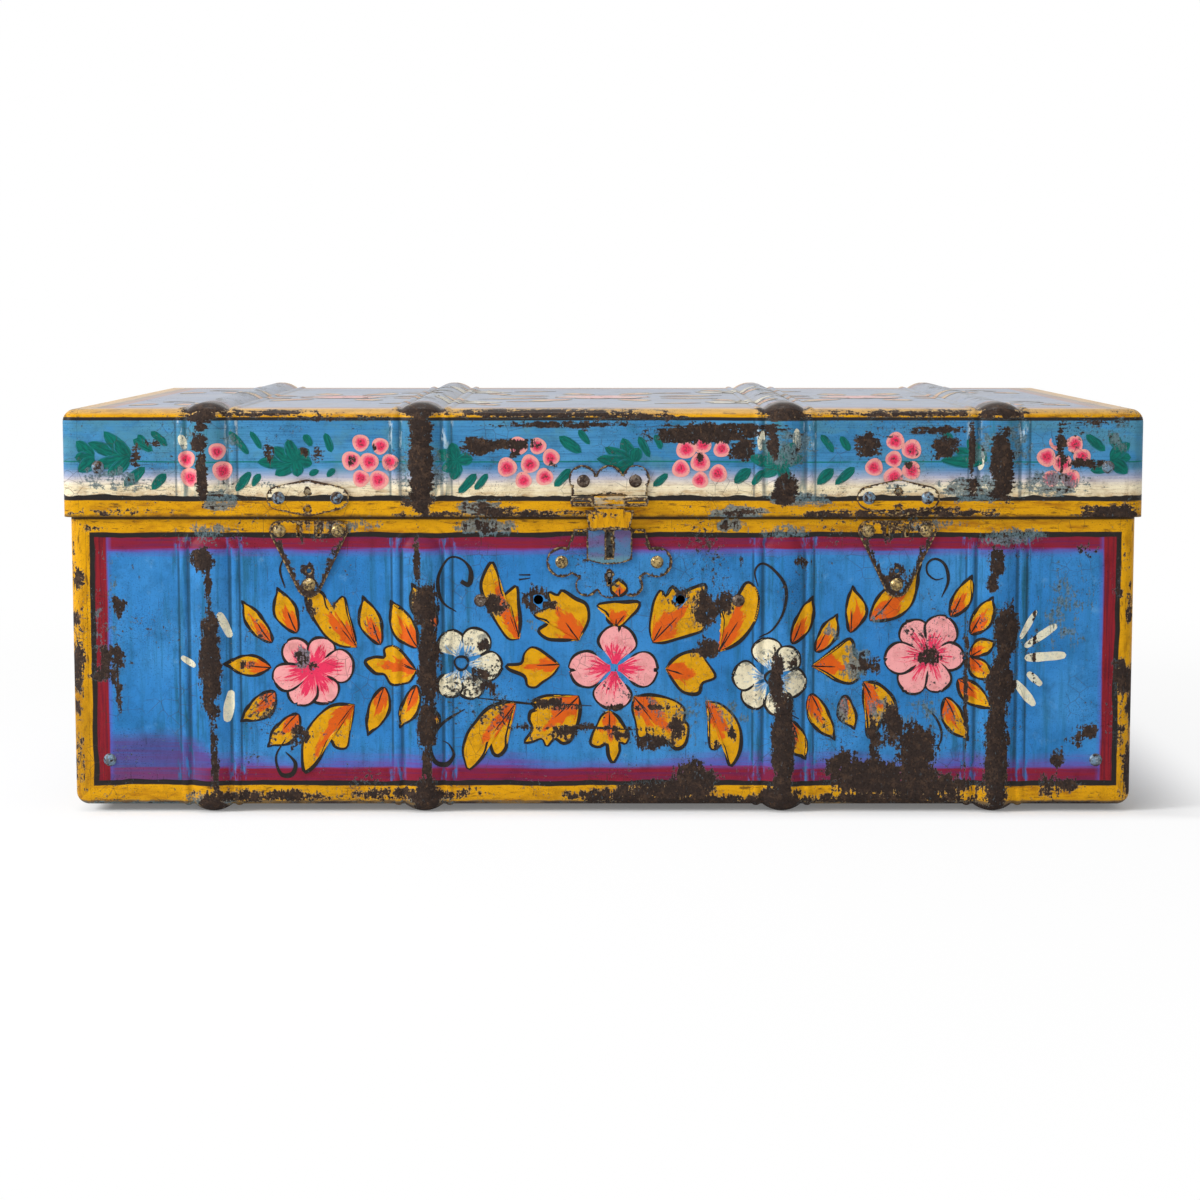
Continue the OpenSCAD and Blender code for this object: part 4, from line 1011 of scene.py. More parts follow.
def berry_paint(s, c):
    """Pink berry with a crimson middle and a dark speck in it."""
    du, dv = s.u - 0.5, s.v - 0.46
    ring = s.node("ShaderNodeMath", {"operation": "SQRT"}, (du * du + dv * dv,))
    ring = ring + (s.noise(1.5, 4, 0.66, shift=3.0) - 0.5) * 0.34
    colour = s.mix(s.ramp(ring, 0.42, 0.3), rgb(236, 158, 150), rgb(228, 106, 128))
    colour = s.mix(s.ramp(ring, 0.29, 0.2), colour, tuple(c.berry))
    speck = s.ramp(s.noise(1.4, 4, 0.66, shift=14.0), 0.5, 0.56) * s.ramp(ring, 0.24, 0.1)
    return s.mix(speck * 0.9, colour, rgb(84, 56, 54))


def green_paint(s, c):
    """Dark green dab that thins out at its ends."""
    dry = s.ramp(brush_marks(s, 7), 0.38, 0.62)
    colour = s.mix(dry * 0.8, tuple(c.green), rgb(2, 70, 70))
    thin = s.ramp(abs(s.v - 0.5) + (brush_marks(s, 6) - 0.5) * 0.9, 0.34, 0.56) * s.ramp(s.u, 0.2, 0.5)
    under = s.mix(s.ramp(s.z, 213, 206), rgb(62, 134, 172), rgb(206, 196, 176))
    return s.mix(thin * 0.6, colour, under)


def ink_paint(s, c):
    """Black line, slightly brown where it is thin."""
    return s.mix(s.ramp(s.noise(2.0, 4, 0.6), 0.55, 0.75) * 0.6, tuple(c.black), rgb(56, 62, 66))


def ray_paint(s, c):
    """Chalky cream stroke."""
    return s.mix(s.ramp(s.noise(2.0, 4, 0.66), 0.45, 0.7) * 0.6, rgb(226, 220, 192), rgb(176, 190, 190))


def hasp_finish(c):
    """Yellow hasp whose lower tongue is blue and violet, with brass-coloured worn corners."""
    s = Shade("hasp_paint")
    lower = s.ramp(s.z + (s.noise(5, 3, 0.6) - 0.5) * 1.5, 178.4, 177.4)
    tint = s.ramp(s.noise(6, 4, 0.6, stretch=(2, 2, 1)), 0.4, 0.62)
    tongue = s.mix(tint, rgb(76, 116, 156), rgb(104, 90, 136))
    tongue = s.mix(s.ramp(s.z, 163, 158), tongue, rgb(96, 138, 154))
    colour = s.mix(lower, yellow_ground(s, c, True), tongue)
    colour, rough, height = weather(s, c, colour, spare=0.6)
    # Painted highlight: pale streaks along the rolled knuckle at the top of the hasp
    roll = s.ramp(s.y, -211.4, -213.4) * s.ramp(s.z, 190.6, 192.0)
    shine = s.ramp(s.noise(3, 4, 0.6, stretch=(3, 1, 1), shift=4.0), 0.42, 0.6)
    colour = s.mix(roll * shine * 0.8, colour, rgb(168, 160, 140))
    return s.close(colour, rough, height)


def metal_finish(name, c, clean, dirty, rust_level, rough_low, metallic=0.9, size=4.0):
    """Old metal: clean and dirty tones, rust where its noise is high, fine scratches."""
    s = Shade(name)
    blotch = s.ramp(s.noise(size, 4, 0.6), 0.4, 0.66)
    colour = s.mix(blotch, clean, dirty)
    scratch = s.ramp(s.noise(0.5, 2, 0.5, stretch=(8, 1, 1), shift=5.0), 0.6, 0.7)
    colour = s.mix(scratch * 0.35, colour, s.mix(1.0, colour, rgb(230, 226, 218), "SCREEN"))
    rusty = s.ramp(s.noise(size * 0.8, 6, 0.66, shift=9.0), rust_level, rust_level + 0.08)
    colour = s.mix(rusty, colour, rust_colour(s, c))
    rough = s.blend(rusty, rough_low + blotch * 0.18, 0.82)
    height = rusty * 0.3 + s.noise(0.8, 4, 0.6, shift=2.0) * 0.6 - scratch * 0.1
    return s.close(colour, rough, height, metallic=(1 - rusty) * metallic, depth=0.15)


def length(name, description, default, low, high):
    """Length property, given in metres."""
    return FloatProperty(
        name=name, description=description, default=default, min=low, max=high, precision=5,
        subtype="DISTANCE", unit="LENGTH",
    )


class TrunkSizes(bpy.types.PropertyGroup):
    """Sizes of the paint, the plates and the camera"""

    film: length("Paint film", "Height of a brush stroke above the sheet", 0.1 * MM, 0.02 * MM, 0.4 * MM)
    line: length("Line width", "Width of the drawn black lines", 1.9 * MM, 0.4 * MM, 3 * MM)
    plate_edge: length(
        "Plate edge", "Radius of the rounded edges of the plates", 0.3 * MM, 0.1 * MM, 0.5 * MM,
    )
    lens: FloatProperty(
        name="Lens", description="Focal length of the camera in millimetres", default=82.9, min=30, max=200,
    )
    camera_away: length("Camera distance", "Distance of the camera in front of the body", 1.7034, 0.8, 5)
    camera_height: length("Camera height", "Height of the camera above the floor", 0.3193, 0, 2)
    camera_pitch: FloatProperty(
        name="Camera pitch", description="Angle by which the camera looks down",
        default=math.radians(6.23), min=0, max=1.5, subtype="ANGLE", unit="ROTATION",
    )


def ink(name, red, green, blue):
    """Colour property with its default given as screen values."""
    return FloatVectorProperty(
        name=name, description=f"{name} of the painted trunk", subtype="COLOR",
        default=rgb(red, green, blue), min=0, max=1,
    )


class TrunkColours(bpy.types.PropertyGroup):
    """Colours of the paints, the primer and the rust"""

    blue: ink("Blue ground", 44, 124, 192)
    yellow: ink("Yellow border", 220, 159, 2)
    crimson: ink("Crimson band", 135, 28, 50)
    purple: ink("Purple fade", 110, 60, 150)
    cream: ink("Cream of the lid", 244, 232, 200)
    pink: ink("Pink petals", 242, 165, 165)
    berry: ink("Crimson marks", 230, 52, 92)
    orange: ink("Orange flames", 224, 88, 12)
    green: ink("Green dabs", 2, 112, 98)
    black: ink("Black lines", 36, 32, 30)
    primer: ink("Rubbed primer", 104, 126, 134)
    rust: ink("Rust", 51, 41, 37)


def inks():
    """The scene's own colours."""
    return bpy.context.scene.trunk_colours


def named(name, maker, *args):
    """Finish of that name, made the first time that it is asked for."""
    return bpy.data.materials.get(name) or maker(*args)


def body_paint():
    """Finish of the outside of the body."""
    return named("body_paint", body_finish, inks())


def lid_paint():
    """Finish of the outside of the lid."""
    return named("lid_paint", lid_finish, inks())


def zinc():
    """Finish of the inside of the sheets."""
    return named("inside_zinc", inside_finish, inks())


class Strokes:
    """Collects brush strokes of one finish, each a copied grid laid on the skin of a tub."""

    blanks = {}

    def __init__(self, tub, which, face):
        self.tub, self.which, self.face = tub, which, face
        self.made = []

    def blank(self, across, along):
        """Grid of that fineness, made once and copied for every stroke."""
        if (across, along) not in self.blanks:
            self.blanks[across, along] = grid(f"blank_{across}_{along}", across, along)
        return self.blanks[across, along]

    def add(self, shape, across, along, layer):
        """shape turns arrays u and v from 0 to 1 into places on the face."""
        obj = self.blank(across, along).copy()
        obj.data = obj.data.copy()
        bpy.context.scene.collection.objects.link(obj)
        uv = coordinates(obj.data) * MM + 0.5
        a, b = shape(uv[:, 0], uv[:, 1])
        # Every stroke shows its painted side, whichever way its outline runs
        corners = [list(polygon.vertices) for polygon in obj.data.polygons]
        ring_a, ring_b = a[corners], b[corners]
        if (ring_a * np.roll(ring_b, -1, 1) - np.roll(ring_a, -1, 1) * ring_b).sum() < 0:
            a, b = shape(uv[:, 0], 1 - uv[:, 1])
        film = bpy.context.scene.trunk_sizes.film / MM
        co = np.stack(self.tub.lay(self.face, a, b, film + layer), axis=1)
        place_vertices(obj.data, co)
        write_wear(obj.data, self.which, co)
        self.made.append(obj)

    def close(self, name, finish, body):
        """Joins the strokes to one piece and gives the paint its thickness."""
        bpy.ops.object.select_all(action="DESELECT")
        for obj in self.made:
            obj.select_set(True)
        bpy.context.view_layer.objects.active = self.made[0]
        bpy.ops.object.join()
        obj = bpy.context.object
        obj.name = obj.data.name = name
        set_finishes(obj.data, finish)
        if self.tub is BODY and self.face == "front":
            clear_holes(obj)
        edit_all(obj, lambda: bpy.ops.mesh.remove_doubles(threshold=0.002 * MM))
        apply_modifier(obj, "SOLIDIFY", thickness=FILM_T * MM, offset=-1)
        smooth(obj, 40)
        finish_piece(obj, body, "painted_sheet")


def clear_holes(obj):
    """Takes away paint that would lie across the open rivet holes of the lost handle."""
    edit(
        obj,
        lambda: bpy.ops.mesh.select_mode(type="FACE"),
        lambda: bpy.ops.mesh.select_all(action="DESELECT"),
    )
    for polygon in obj.data.polygons:
        x, z = polygon.center.x / MM, polygon.center.z / MM
        polygon.select = any(math.hypot(x - hx, z - HANDLE_HOLES[1]) < HOLE_CLEAR for hx in HANDLE_HOLES[0])
    if any(polygon.select for polygon in obj.data.polygons):
        edit(obj, lambda: bpy.ops.mesh.delete(type="FACE"))


def near_rib(*xs):
    """Whether a span of places touches a rib."""
    return any(min(xs) - RIB_REACH < c < max(xs) + RIB_REACH for c in RIB_XS)


def leaf_outline(x0, z0, x1, z1, width, bend, power, seed):
    """Shape of a leaf from its stalk to its tip as a function of u and v."""
    dx, dz = x1 - x0, z1 - z0
    length = math.hypot(dx, dz)
    ax, az = dx / length, dz / length

    def shape(u, v):
        half = width / 2 * np.clip(np.sin(np.pi * np.clip(u, 0, 1)), 0, 1) ** power
        half = half * (1 + 0.06 * np.sin(7 * u + seed) + 0.02 * np.sin(15 * u + 2 * seed))
        across = (2 * v - 1) * half + bend * np.sin(np.pi * u)
        return x0 + ax * length * u - az * across, z0 + az * length * u + ax * across

    return shape


def ribbon(points, widths):
    """Shape of a drawn line through points, with a width at each of them."""
    points = np.array(points, float)
    steps = np.concatenate([[0], np.cumsum(np.hypot(*np.diff(points, axis=0).T))])
    steps /= steps[-1]
    stops = np.linspace(0, 1, len(widths))

    def shape(u, v):
        before, (x, z), after = (
            [np.interp(u + shift, steps, points[:, i]) for i in (0, 1)] for shift in (-0.004, 0, 0.004)
        )
        dx, dz = after[0] - before[0], after[1] - before[1]
        length = np.hypot(dx, dz) + 1e-9
        half = np.interp(u, stops, widths) / 2 * (2 * v - 1)
        return x - dz / length * half, z + dx / length * half

    return shape


def curve_points(points, count=40):
    """Smooth line through a few places."""
    p = np.array(points, float)
    p = np.vstack([2 * p[0] - p[1], p, 2 * p[-1] - p[-2]])
    out = []
    for i in range(1, len(p) - 2):
        for t in np.linspace(0, 1, max(2, count // (len(p) - 3)), endpoint=False):
            a, b, c, d = p[i - 1 : i + 3]
            square, cube = 2 * a - 5 * b + 4 * c - d, 3 * b - a - 3 * c + d
            out.append(0.5 * (2 * b + (c - a) * t + square * t**2 + cube * t**3))
    return np.array(out + [p[-2]])


def around(shape, start=0.0):
    """Places along the outline of a shape, from its stalk over its tip and back."""
    u = np.linspace(start, 1, EDGE_STEPS)
    one, two = (np.stack(shape(u, np.full(EDGE_STEPS, v)), axis=1) for v in (1.02, -0.02))
    return np.concatenate([two, one[::-1]])


def line_widths(count, seed, width):
    """Uneven widths of a hand-drawn line that tapers at its ends."""
    s = np.linspace(0, 1, count)
    body = 0.82 + 0.22 * np.sin(11 * s + seed) + 0.12 * np.sin(29 * s + 3 * seed)
    return width * body * np.clip(np.minimum(s, 1 - s) * 14 + 0.25, 0, 1)


# Leaves of the body front: stalk x, z, tip x, z, width, sideways bend
BODY_LEAVES = [
    (-206, 107, -223, 131, 10.5, 1.2), (-190, 113, -201, 139, 13.0, 1.2), (-206, 91, -233, 93, 11.8, 0.0),
    (-204, 76, -224, 59, 13.6, 1.9), (-190, 62, -208, 43, 13.6, 1.9), (-138, 105, -148, 133, 12.4, 1.2),
    (-115, 104, -130, 131, 13.6, 1.2), (-136, 79, -146, 51, 12.4, 1.2), (-116, 80, -126, 55, 10.5, 1.2),
    (-103, 117, -117, 142, 13.0, 1.2), (-107, 68, -110, 45, 11.8, 1.2), (117, 106, 129, 133, 10.5, -1.2),
    (132, 101, 144, 123, 10.5, -1.2), (154, 113, 155, 140, 11.8, -3.1), (166, 120, 195, 152, 18.0, -3.1),
    (129, 75, 143, 48, 12.4, -1.9), (150, 74, 156, 54, 10.5, -1.9), (117, 58, 126, 35, 13.6, -2.5),
    (216, 123, 228, 147, 10.5, -1.2), (228, 112, 240, 134, 11.8, -1.2), (228, 98, 242, 107, 9.3, 1.2),
    (228, 98, 242, 85, 10.5, -1.2), (221, 84, 241, 67, 11.8, -1.2), (213, 72, 226, 47, 13.0, -1.9),
]

# Leaves of several lobes: outline from the stalk round to the stalk
LOBED_LEAVES = [
    [(-116, 90), (-120, 83), (-126, 81), (-132, 81), (-136, 87), (-142, 88), (-148, 95), (-142, 98),
     (-136, 98), (-136, 103), (-132, 105), (-128, 104), (-123, 99), (-118, 93)],
    [(-52, 109), (-58, 109), (-63, 115), (-69, 125), (-74, 136), (-75, 145), (-69, 157), (-65, 150),
     (-62, 137), (-58, 139), (-53, 142), (-52, 131), (-51, 120)],
    [(-15, 108), (-28, 108), (-35, 109), (-40, 114), (-34, 119), (-41, 122), (-42, 125), (-33, 129),
     (-34, 136), (-33, 138), (-28, 136), (-25, 139), (-17, 134), (-10, 130), (-9, 120)],
    [(8, 117), (3, 120), (2, 125), (-4, 130), (5, 132), (13, 132), (22, 132), (21, 127), (16, 122),
     (11, 117)],
    [(-27, 93), (-31, 87), (-38, 82), (-42, 79), (-47, 80), (-49, 86), (-58, 90), (-60, 93), (-51, 94),
     (-49, 100), (-45, 104), (-40, 103), (-33, 98)],
    [(-54, 69), (-58, 56), (-60, 47), (-60, 41), (-64, 36), (-68, 37), (-71, 45), (-74, 36), (-83, 27),
     (-86, 33), (-87, 40), (-84, 50), (-79, 57), (-72, 65), (-63, 69)],
    [(-15, 73), (-14, 66), (-15, 58), (-17, 52), (-20, 45), (-25, 43), (-30, 46), (-35, 41), (-38, 46),
     (-44, 44), (-49, 44), (-44, 52), (-46, 58), (-45, 63), (-41, 65), (-44, 69), (-36, 73), (-25, 73)],
    [(4, 64), (9, 60), (13, 54), (16, 49), (14, 43), (10, 44), (10, 38), (6, 31), (3, 36), (2, 43),
     (-3, 41), (-8, 43), (-7, 49), (-4, 55), (-1, 61)],
    [(31, 107), (29, 115), (30, 125), (32, 134), (36, 140), (39, 136), (43, 142), (48, 138), (55, 141),
     (64, 143), (61, 130), (64, 123), (62, 115), (55, 112), (45, 109), (38, 107)],
    [(72, 101), (74, 111), (75, 120), (74, 128), (83, 135), (89, 144), (94, 142), (97, 135), (96, 125),
     (93, 117), (87, 109), (80, 104)],
    [(39, 90), (44, 96), (51, 100), (60, 101), (64, 95), (70, 85), (62, 81), (60, 75), (55, 74), (49, 76),
     (44, 82)],
    [(19, 73), (29, 74), (40, 72), (48, 68), (51, 63), (50, 58), (53, 54), (51, 43), (45, 40), (39, 45),
     (33, 43), (29, 48), (22, 47), (20, 57), (18, 65)],
    [(64, 70), (72, 69), (78, 65), (83, 59), (86, 51), (86, 41), (83, 33), (79, 30), (75, 43), (71, 40),
     (67, 41), (66, 52), (66, 62)],
    [(130, 92), (138, 98), (146, 104), (153, 109), (156, 106), (157, 99), (164, 91), (159, 87), (159, 84),
     (154, 81), (146, 83), (138, 88)],
    [(162, 82), (170, 81), (176, 77), (181, 71), (183, 62), (180, 55), (174, 58), (169, 48), (165, 48),
     (164, 60), (162, 71)],
    [(-155, 68), (-166, 68), (-173, 65), (-182, 56), (-187, 46), (-188, 36), (-187, 26), (-183, 27),
     (-177, 34), (-171, 46), (-167, 41), (-160, 41), (-158, 52)],
    [(-153, 104), (-163, 105), (-171, 110), (-177, 118), (-182, 127), (-184, 136), (-179, 140),
     (-173, 137), (-170, 128), (-161, 136), (-158, 125), (-155, 115)],
]

# Petals: flower x, z, then petals x, z, radius
PINK_FLOWERS = [
    (-180, 90, [
        (-191, 101, 8.1), (-175, 102, 8.1), (-164, 92, 9.3),
        (-174, 77, 8.7), (-187, 76, 8.7), (-197, 85, 8.1),
    ]),
    (203, 99, [
        (193, 113, 8.1), (210, 114, 9.3), (216, 98, 8.1),
        (208, 84, 8.1), (192, 83, 8.1), (184, 97, 8.7),
    ]),
]
HEART_FLOWER = (7, 91, [(9, 107, 10.5), (-10, 90, 10.8), (24, 90, 10.2), (6, 75, 10.4)])
WHITE_FLOWERS = [
    (-88, 94, [(-94, 106, 8.1), (-79, 107, 8.7), (-71, 92, 8.1), (-82, 79, 7.4), (-95, 80, 7.4)]),
    (105, 85, [
        (102, 101, 8.7), (115, 97, 7.4), (118, 82, 8.1), (109, 70, 8.1), (94, 73, 7.4), (89, 86, 8.1),
    ]),
]

# Drawn curls: places along each, and widths from end to end
BODY_CURLS = [
    ([(-198, 46), (-204, 35), (-201, 24), (-194, 24), (-192, 31), (-198, 38)],
     (0.6, 1.2, 1.6, 3.2, 2.4, 0.5)),
    ([(-91, 126), (-100, 133), (-102, 147), (-96, 159), (-88, 159), (-82, 152), (-83, 143), (-88, 145)],
     (0.5, 1.6, 2.4, 1.6, 1.2, 1.4, 3.4, 2.6)),
    ([(-86, 65), (-100, 56), (-107, 44), (-105, 33), (-98, 30), (-93, 36), (-96, 43), (-100, 45)],
     (0.5, 1.8, 1.8, 1.4, 2.6, 3.2, 1.4, 0.4)),
    ([(97, 110), (105, 115), (112, 127), (113, 142), (105, 153), (98, 156), (94, 151), (96, 142)],
     (0.6, 1.2, 1.6, 2.2, 2.0, 1.6, 1.2, 0.5)),
    ([(210, 135), (214, 145), (212, 155), (206, 159), (201, 156), (201, 150), (206, 146), (211, 147)],
     (0.5, 1.6, 2.2, 1.8, 1.4, 1.2, 1.2, 0.4)),
    ([(199, 68), (207, 60), (211, 51), (210, 43), (206, 42)], (0.5, 1.1, 1.6, 1.4, 0.4)),
    ([(-197, 141), (-200, 152), (-197, 161)], (0.8, 1.5, 0.5)),
    ([(-52, 149), (-45, 149)], (0.6, 1.1)), ([(-52, 146), (-45, 147)], (1.1, 0.5)),
    ([(-78, 72), (-41, 68), (-24, 68), (-7, 67)], (0.5, 1.5, 1.1, 0.5)),
    ([(-28, 54), (0, 53), (18, 52)], (0.5, 1.7, 0.5)),
    ([(122, 59), (110, 66), (99, 70)], (0.6, 1.0, 0.4)),
]

# White rays and scraps: start x, z, end x, z, width
BODY_RAYS = [
    (269, 127, 259, 109, 3.4), (282, 118, 262, 104, 4.6), (288, 99, 262, 97, 5.4), (273, 80, 264, 88, 4.2),
    (269, 67, 256, 83, 5.0), (-238, 126, -231, 110, 4.6), (-262, 98, -253, 92, 3.6),
    (-231, 77, -234, 57, 5.6),
]

# Lid front: berries, and dabs of green as start x, z, end x, z, width
BERRIES = [
    (-256, 221), (-237, 226), (-254, 210), (-234, 214), (-149, 231), (-137, 229), (-155, 220), (-144, 219),
    (-131, 219), (-149, 209), (-138, 208), (-52, 229), (-40, 229), (-32, 222), (-59, 216), (-45, 218),
    (-49, 208), (-36, 210), (51, 227), (61, 230), (73, 227), (48, 215), (60, 219), (71, 212), (60, 208),
    (180, 232), (190, 227), (167, 216), (179, 221), (190, 214), (179, 210), (290, 230), (280, 231),
    (273, 222), (283, 218), (295, 222), (276, 209), (288, 209),
]
GREEN_DABS = [
    (-286, 236, -280, 229, 4.6), (-289, 233, -277, 226, 6), (-278, 238, -268, 229, 5),
    (-282, 216, -295, 204, 7), (-269, 212, -278, 202, 6), (-230, 238, -218, 224, 5),
    (-217, 238, -210, 227, 4), (-217, 213, -226, 201, 6), (-211, 212, -216, 204, 4.6),
    (-184, 236, -179, 229, 5), (-171, 237, -167, 225, 5), (-175, 214, -181, 211, 4),
    (-165, 215, -170, 210, 4), (-78, 212, -89, 200, 6), (-71, 212, -79, 202, 5), (-27, 235, -13, 225, 7),
    (-15, 239, -8, 230, 4.4), (-20, 215, -30, 204, 6), (6, 213, -4, 209, 5), (18, 216, 9, 206, 6),
    (22, 235, 29, 222, 5), (32, 236, 36, 227, 4.6), (40, 212, 31, 204, 5), (91, 215, 81, 206, 7),
    (99, 214, 92, 205, 5), (134, 236, 142, 225, 5), (146, 235, 152, 226, 5), (142, 215, 132, 205, 7),
    (155, 216, 143, 205, 6), (209, 238, 215, 232, 5), (297, 236, 309, 226, 6), (312, 237, 320, 225, 7),
    (300, 214, 316, 216, 6), (-172, 206, -176, 203, 3),
]

# Pale rubbed streaks on the flanks of the ribs of the lid
LID_CHALK = [
    (98, 239, 97, 226, 4.5), (119, 240, 120, 225, 5), (-260, 236, -257, 227, 5), (233, 226, 232, 214, 4),
]

# Strokes of a bush on the ends of the lid, from the middle of the berries beside it
END_BUSH = [(37, 8), (46, 13), (57, 14), (68, 7), (70, -3), (50, -11), (60, -12)]

# Bushes: foot x, z, then the tips of their strokes x, z
BUSHES = [
    (-291, 222, [(-317, 231), (-307, 238), (-314, 217), (-305, 211), (-300, 233)]),
    (-189, 220, [(-213, 219), (-204, 228), (-194, 233), (-181, 227), (-179, 218), (-202, 211), (-188, 210)]),
    (-90, 220, [(-102, 226), (-93, 231), (-99, 214), (-92, 208), (-80, 221)]),
    (19, 219, [(12, 234), (1, 228), (-4, 221), (22, 228), (8, 215)]),
    (108, 219, [(90, 222), (99, 232), (118, 231), (123, 222), (98, 210), (113, 207)]),
    (236, 220, [(216, 227), (224, 233), (208, 220)]),
    (-313, 222, [(-324, 232), (-325, 222), (-323, 213)]),
    (312, 221, [(324, 231), (325, 222), (323, 212)]),
]


def dab(x0, z0, x1, z1, width, seed):
    """Brush dab with blunt ends."""
    return leaf_outline(x0, z0, x1, z1, width, 0.3 * math.sin(seed), 0.42, seed)


def disc(x, z, radius, turn, seed):
    """Round stroke whose u runs along turn."""
    c, s = math.cos(turn), math.sin(turn)

    def shape(u, v):
        p, q = 2 * u - 1, 2 * v - 1
        # A square grid pressed into a circle
        a = p * np.sqrt(np.maximum(1 - q * q / 2, 0)) * radius
        b = q * np.sqrt(np.maximum(1 - p * p / 2, 0)) * radius
        grow = 1 + 0.05 * np.sin(3 * np.arctan2(b, a + 1e-6) + seed)
        return x + (c * a - s * b) * grow, z + (s * a + c * b) * grow

    return shape


def berry(x, z, seed, turn=1.0):
    """Round stroke of a berry, turned by its seed."""
    return disc(x, z, BERRY_R + 0.5 * math.sin(seed), turn * seed, seed)


def disc_ring(x, z, radius, seed):
    """Places round a circle, for its drawn outline."""
    turn = np.linspace(0, 2 * math.pi, 40)
    r = radius * (1 + 0.05 * np.sin(3 * turn + seed))
    return np.stack([x + r * np.cos(turn), z + r * np.sin(turn)], axis=1)


class Picture:
    """Strokes of every finish on one face, closed to a few pieces at the end."""

    def __init__(self, tub, which, face, label):
        self.args = (tub, which, face)
        self.label = label
        self.sets = {}
        self.seed = 0.0
        self.count = 0
        self.line = bpy.context.scene.trunk_sizes.line / MM

    def of(self, kind):
        """Strokes of one finish."""
        if kind not in self.sets:
            self.sets[kind] = Strokes(*self.args)
        return self.sets[kind]

    def next_seed(self):
        """Number that makes each stroke a little different."""
        self.seed += 1.618
        return self.seed

    def next_layer(self):
        """A height of its own for each of a few strokes that may cross."""
        self.count += 1
        return 0.007 * (self.count % 9)

    def fill(self, kind, shape, xs, fine, plain, layer):
        """Adds a filled stroke, in a finer grid where it touches a rib."""
        self.of(kind).add(shape, *(fine if near_rib(*xs) else plain), layer)

    def draw(self, points, widths, layer=LINE_LIFT):
        """Adds a black line."""
        points = np.array(points, float)
        length = np.hypot(*np.diff(points, axis=0).T).sum()
        fine = 0.9 if near_rib(*points[:, 0]) else 1.7
        self.of("ink").add(ribbon(points, widths), max(4, min(70, round(length / fine))), 1, layer)

    def leaf(self, x0, z0, x1, z1, width, bend, lift=0.0):
        """Leaf from its stalk to its tip, with its outline and a vein."""
        seed = self.next_seed()
        shape = leaf_outline(x0, z0, x1, z1, width, bend, 0.72, seed)
        self.fill("leaf", shape, (x0, x1), (30, 12), (22, 6), lift + self.next_layer())
        edge = around(shape) + (0.5 * math.sin(seed), 0.4 * math.cos(1.3 * seed))
        tip = edge[EDGE_STEPS] + (np.array([x1, z1]) - (x0, z0)) * 0.1
        stops = ((0, 0), (0.25, 0.22), (0.5, 0.5))
        vein = curve_points([(x0 + (x1 - x0) * a, z0 + (z1 - z0) * b) for a, b in stops], 12)
        for i, (points, count, thick) in enumerate((
            (np.vstack([edge[: EDGE_STEPS - 1], [tip]]), 30, 1.1),
            (np.vstack([[tip], edge[EDGE_STEPS + 1 :]]), 30, 1),
            (vein, 6, 0.5),
        )):
            self.draw(points, line_widths(count, seed + i, self.line * thick), lift + LINE_LIFT)

    def lobed(self, outline):
        """Leaf of several lobes, with its outline and two veins."""
        seed = self.next_seed()
        edge = curve_points(outline + outline[:1], 90)
        steps = np.concatenate([[0], np.cumsum(np.hypot(*np.diff(edge, axis=0).T))])
        steps /= steps[-1]
        x, z = outline[0]

        def shape(u, v):
            ex, ez = (np.interp(v, steps, edge[:, i]) for i in (0, 1))
            return x + (ex - x) * u, z + (ez - z) * u

        self.fill("leaf", shape, edge[:, 0], (24, 90), (10, 52), self.next_layer())
        off = (0.35 * math.sin(seed), 0.35 * math.cos(seed))
        self.draw(edge + off, line_widths(60, seed, self.line * 1.15))
        middle = edge[len(edge) // 2]
        for share in (0.46, -0.3):
            side = edge[int(len(edge) * (0.5 + 0.12 * share))]
            tip = (x + (side[0] - x) * abs(share) + 1.2 * share, z + (middle[1] - z) * abs(share))
            self.draw(curve_points([(x, z), tip], 8), line_widths(6, seed, self.line * 0.45))

    def petals(self, kind, x, z, petals, start=0.6, notch=0.03, step=0.05):
        """Petals of one flower from start outwards, each a step above the one before."""
        for i, (px, pz, radius) in enumerate(petals):
            self.petal(kind, x, z, px, pz, radius, start, notch, step * i)

    def white_flower(self, x, z, petals, ring, seed):
        """White flower with a drawn ring round its open heart."""
        self.petals("white", x, z, petals, start=5)
        self.draw(disc_ring(x, z, ring, seed), line_widths(20, seed, self.line * 0.9), RING_LIFT)

    def petal(self, kind, x, z, px, pz, radius, start, notch, layer):
        """Petal that widens from the heart x, z to a round end about px, pz, with its outline."""
        seed = self.next_seed()
        turn = math.atan2(pz - z, px - x)
        far = math.hypot(px - x, pz - z) + radius
        peak = 1 - radius / (far - start)

        def shape(u, v):
            q, u = 2 * v - 1, np.clip(u, 0, 1)
            narrow = 0.16 + 0.84 * ease(u / peak) ** 0.8
            closing = np.clip(u - peak, 0, 1) / (1 - peak)
            spread = radius * 1.06 * narrow * np.sqrt(np.maximum(1 - closing**2, 0.02))
            dip = 1 - notch * np.exp(-((q / 0.24) ** 2)) * ease(u * 2 - 1)
            reach = start + (far - start) * u * dip * (1 + 0.02 * np.sin(4 * q + seed))
            b = q * spread * (1 + 0.05 * np.sin(7 * u + seed))
            c, s = math.cos(turn), math.sin(turn)
            return x + c * reach - s * b, z + s * reach + c * b

        self.fill(kind, shape, (px - radius, px + radius), (28, 22), (16, 12), layer)
        edge = around(shape, 0.3)
        tip = np.stack(shape(np.full(14, 1.0), np.linspace(-0.02, 1.02, 14)), axis=1)
        outline = np.concatenate([edge[: EDGE_STEPS - 1], tip, edge[EDGE_STEPS + 1 :]])
        self.draw(outline, line_widths(40, seed, self.line * 0.95), 0.03 + layer)

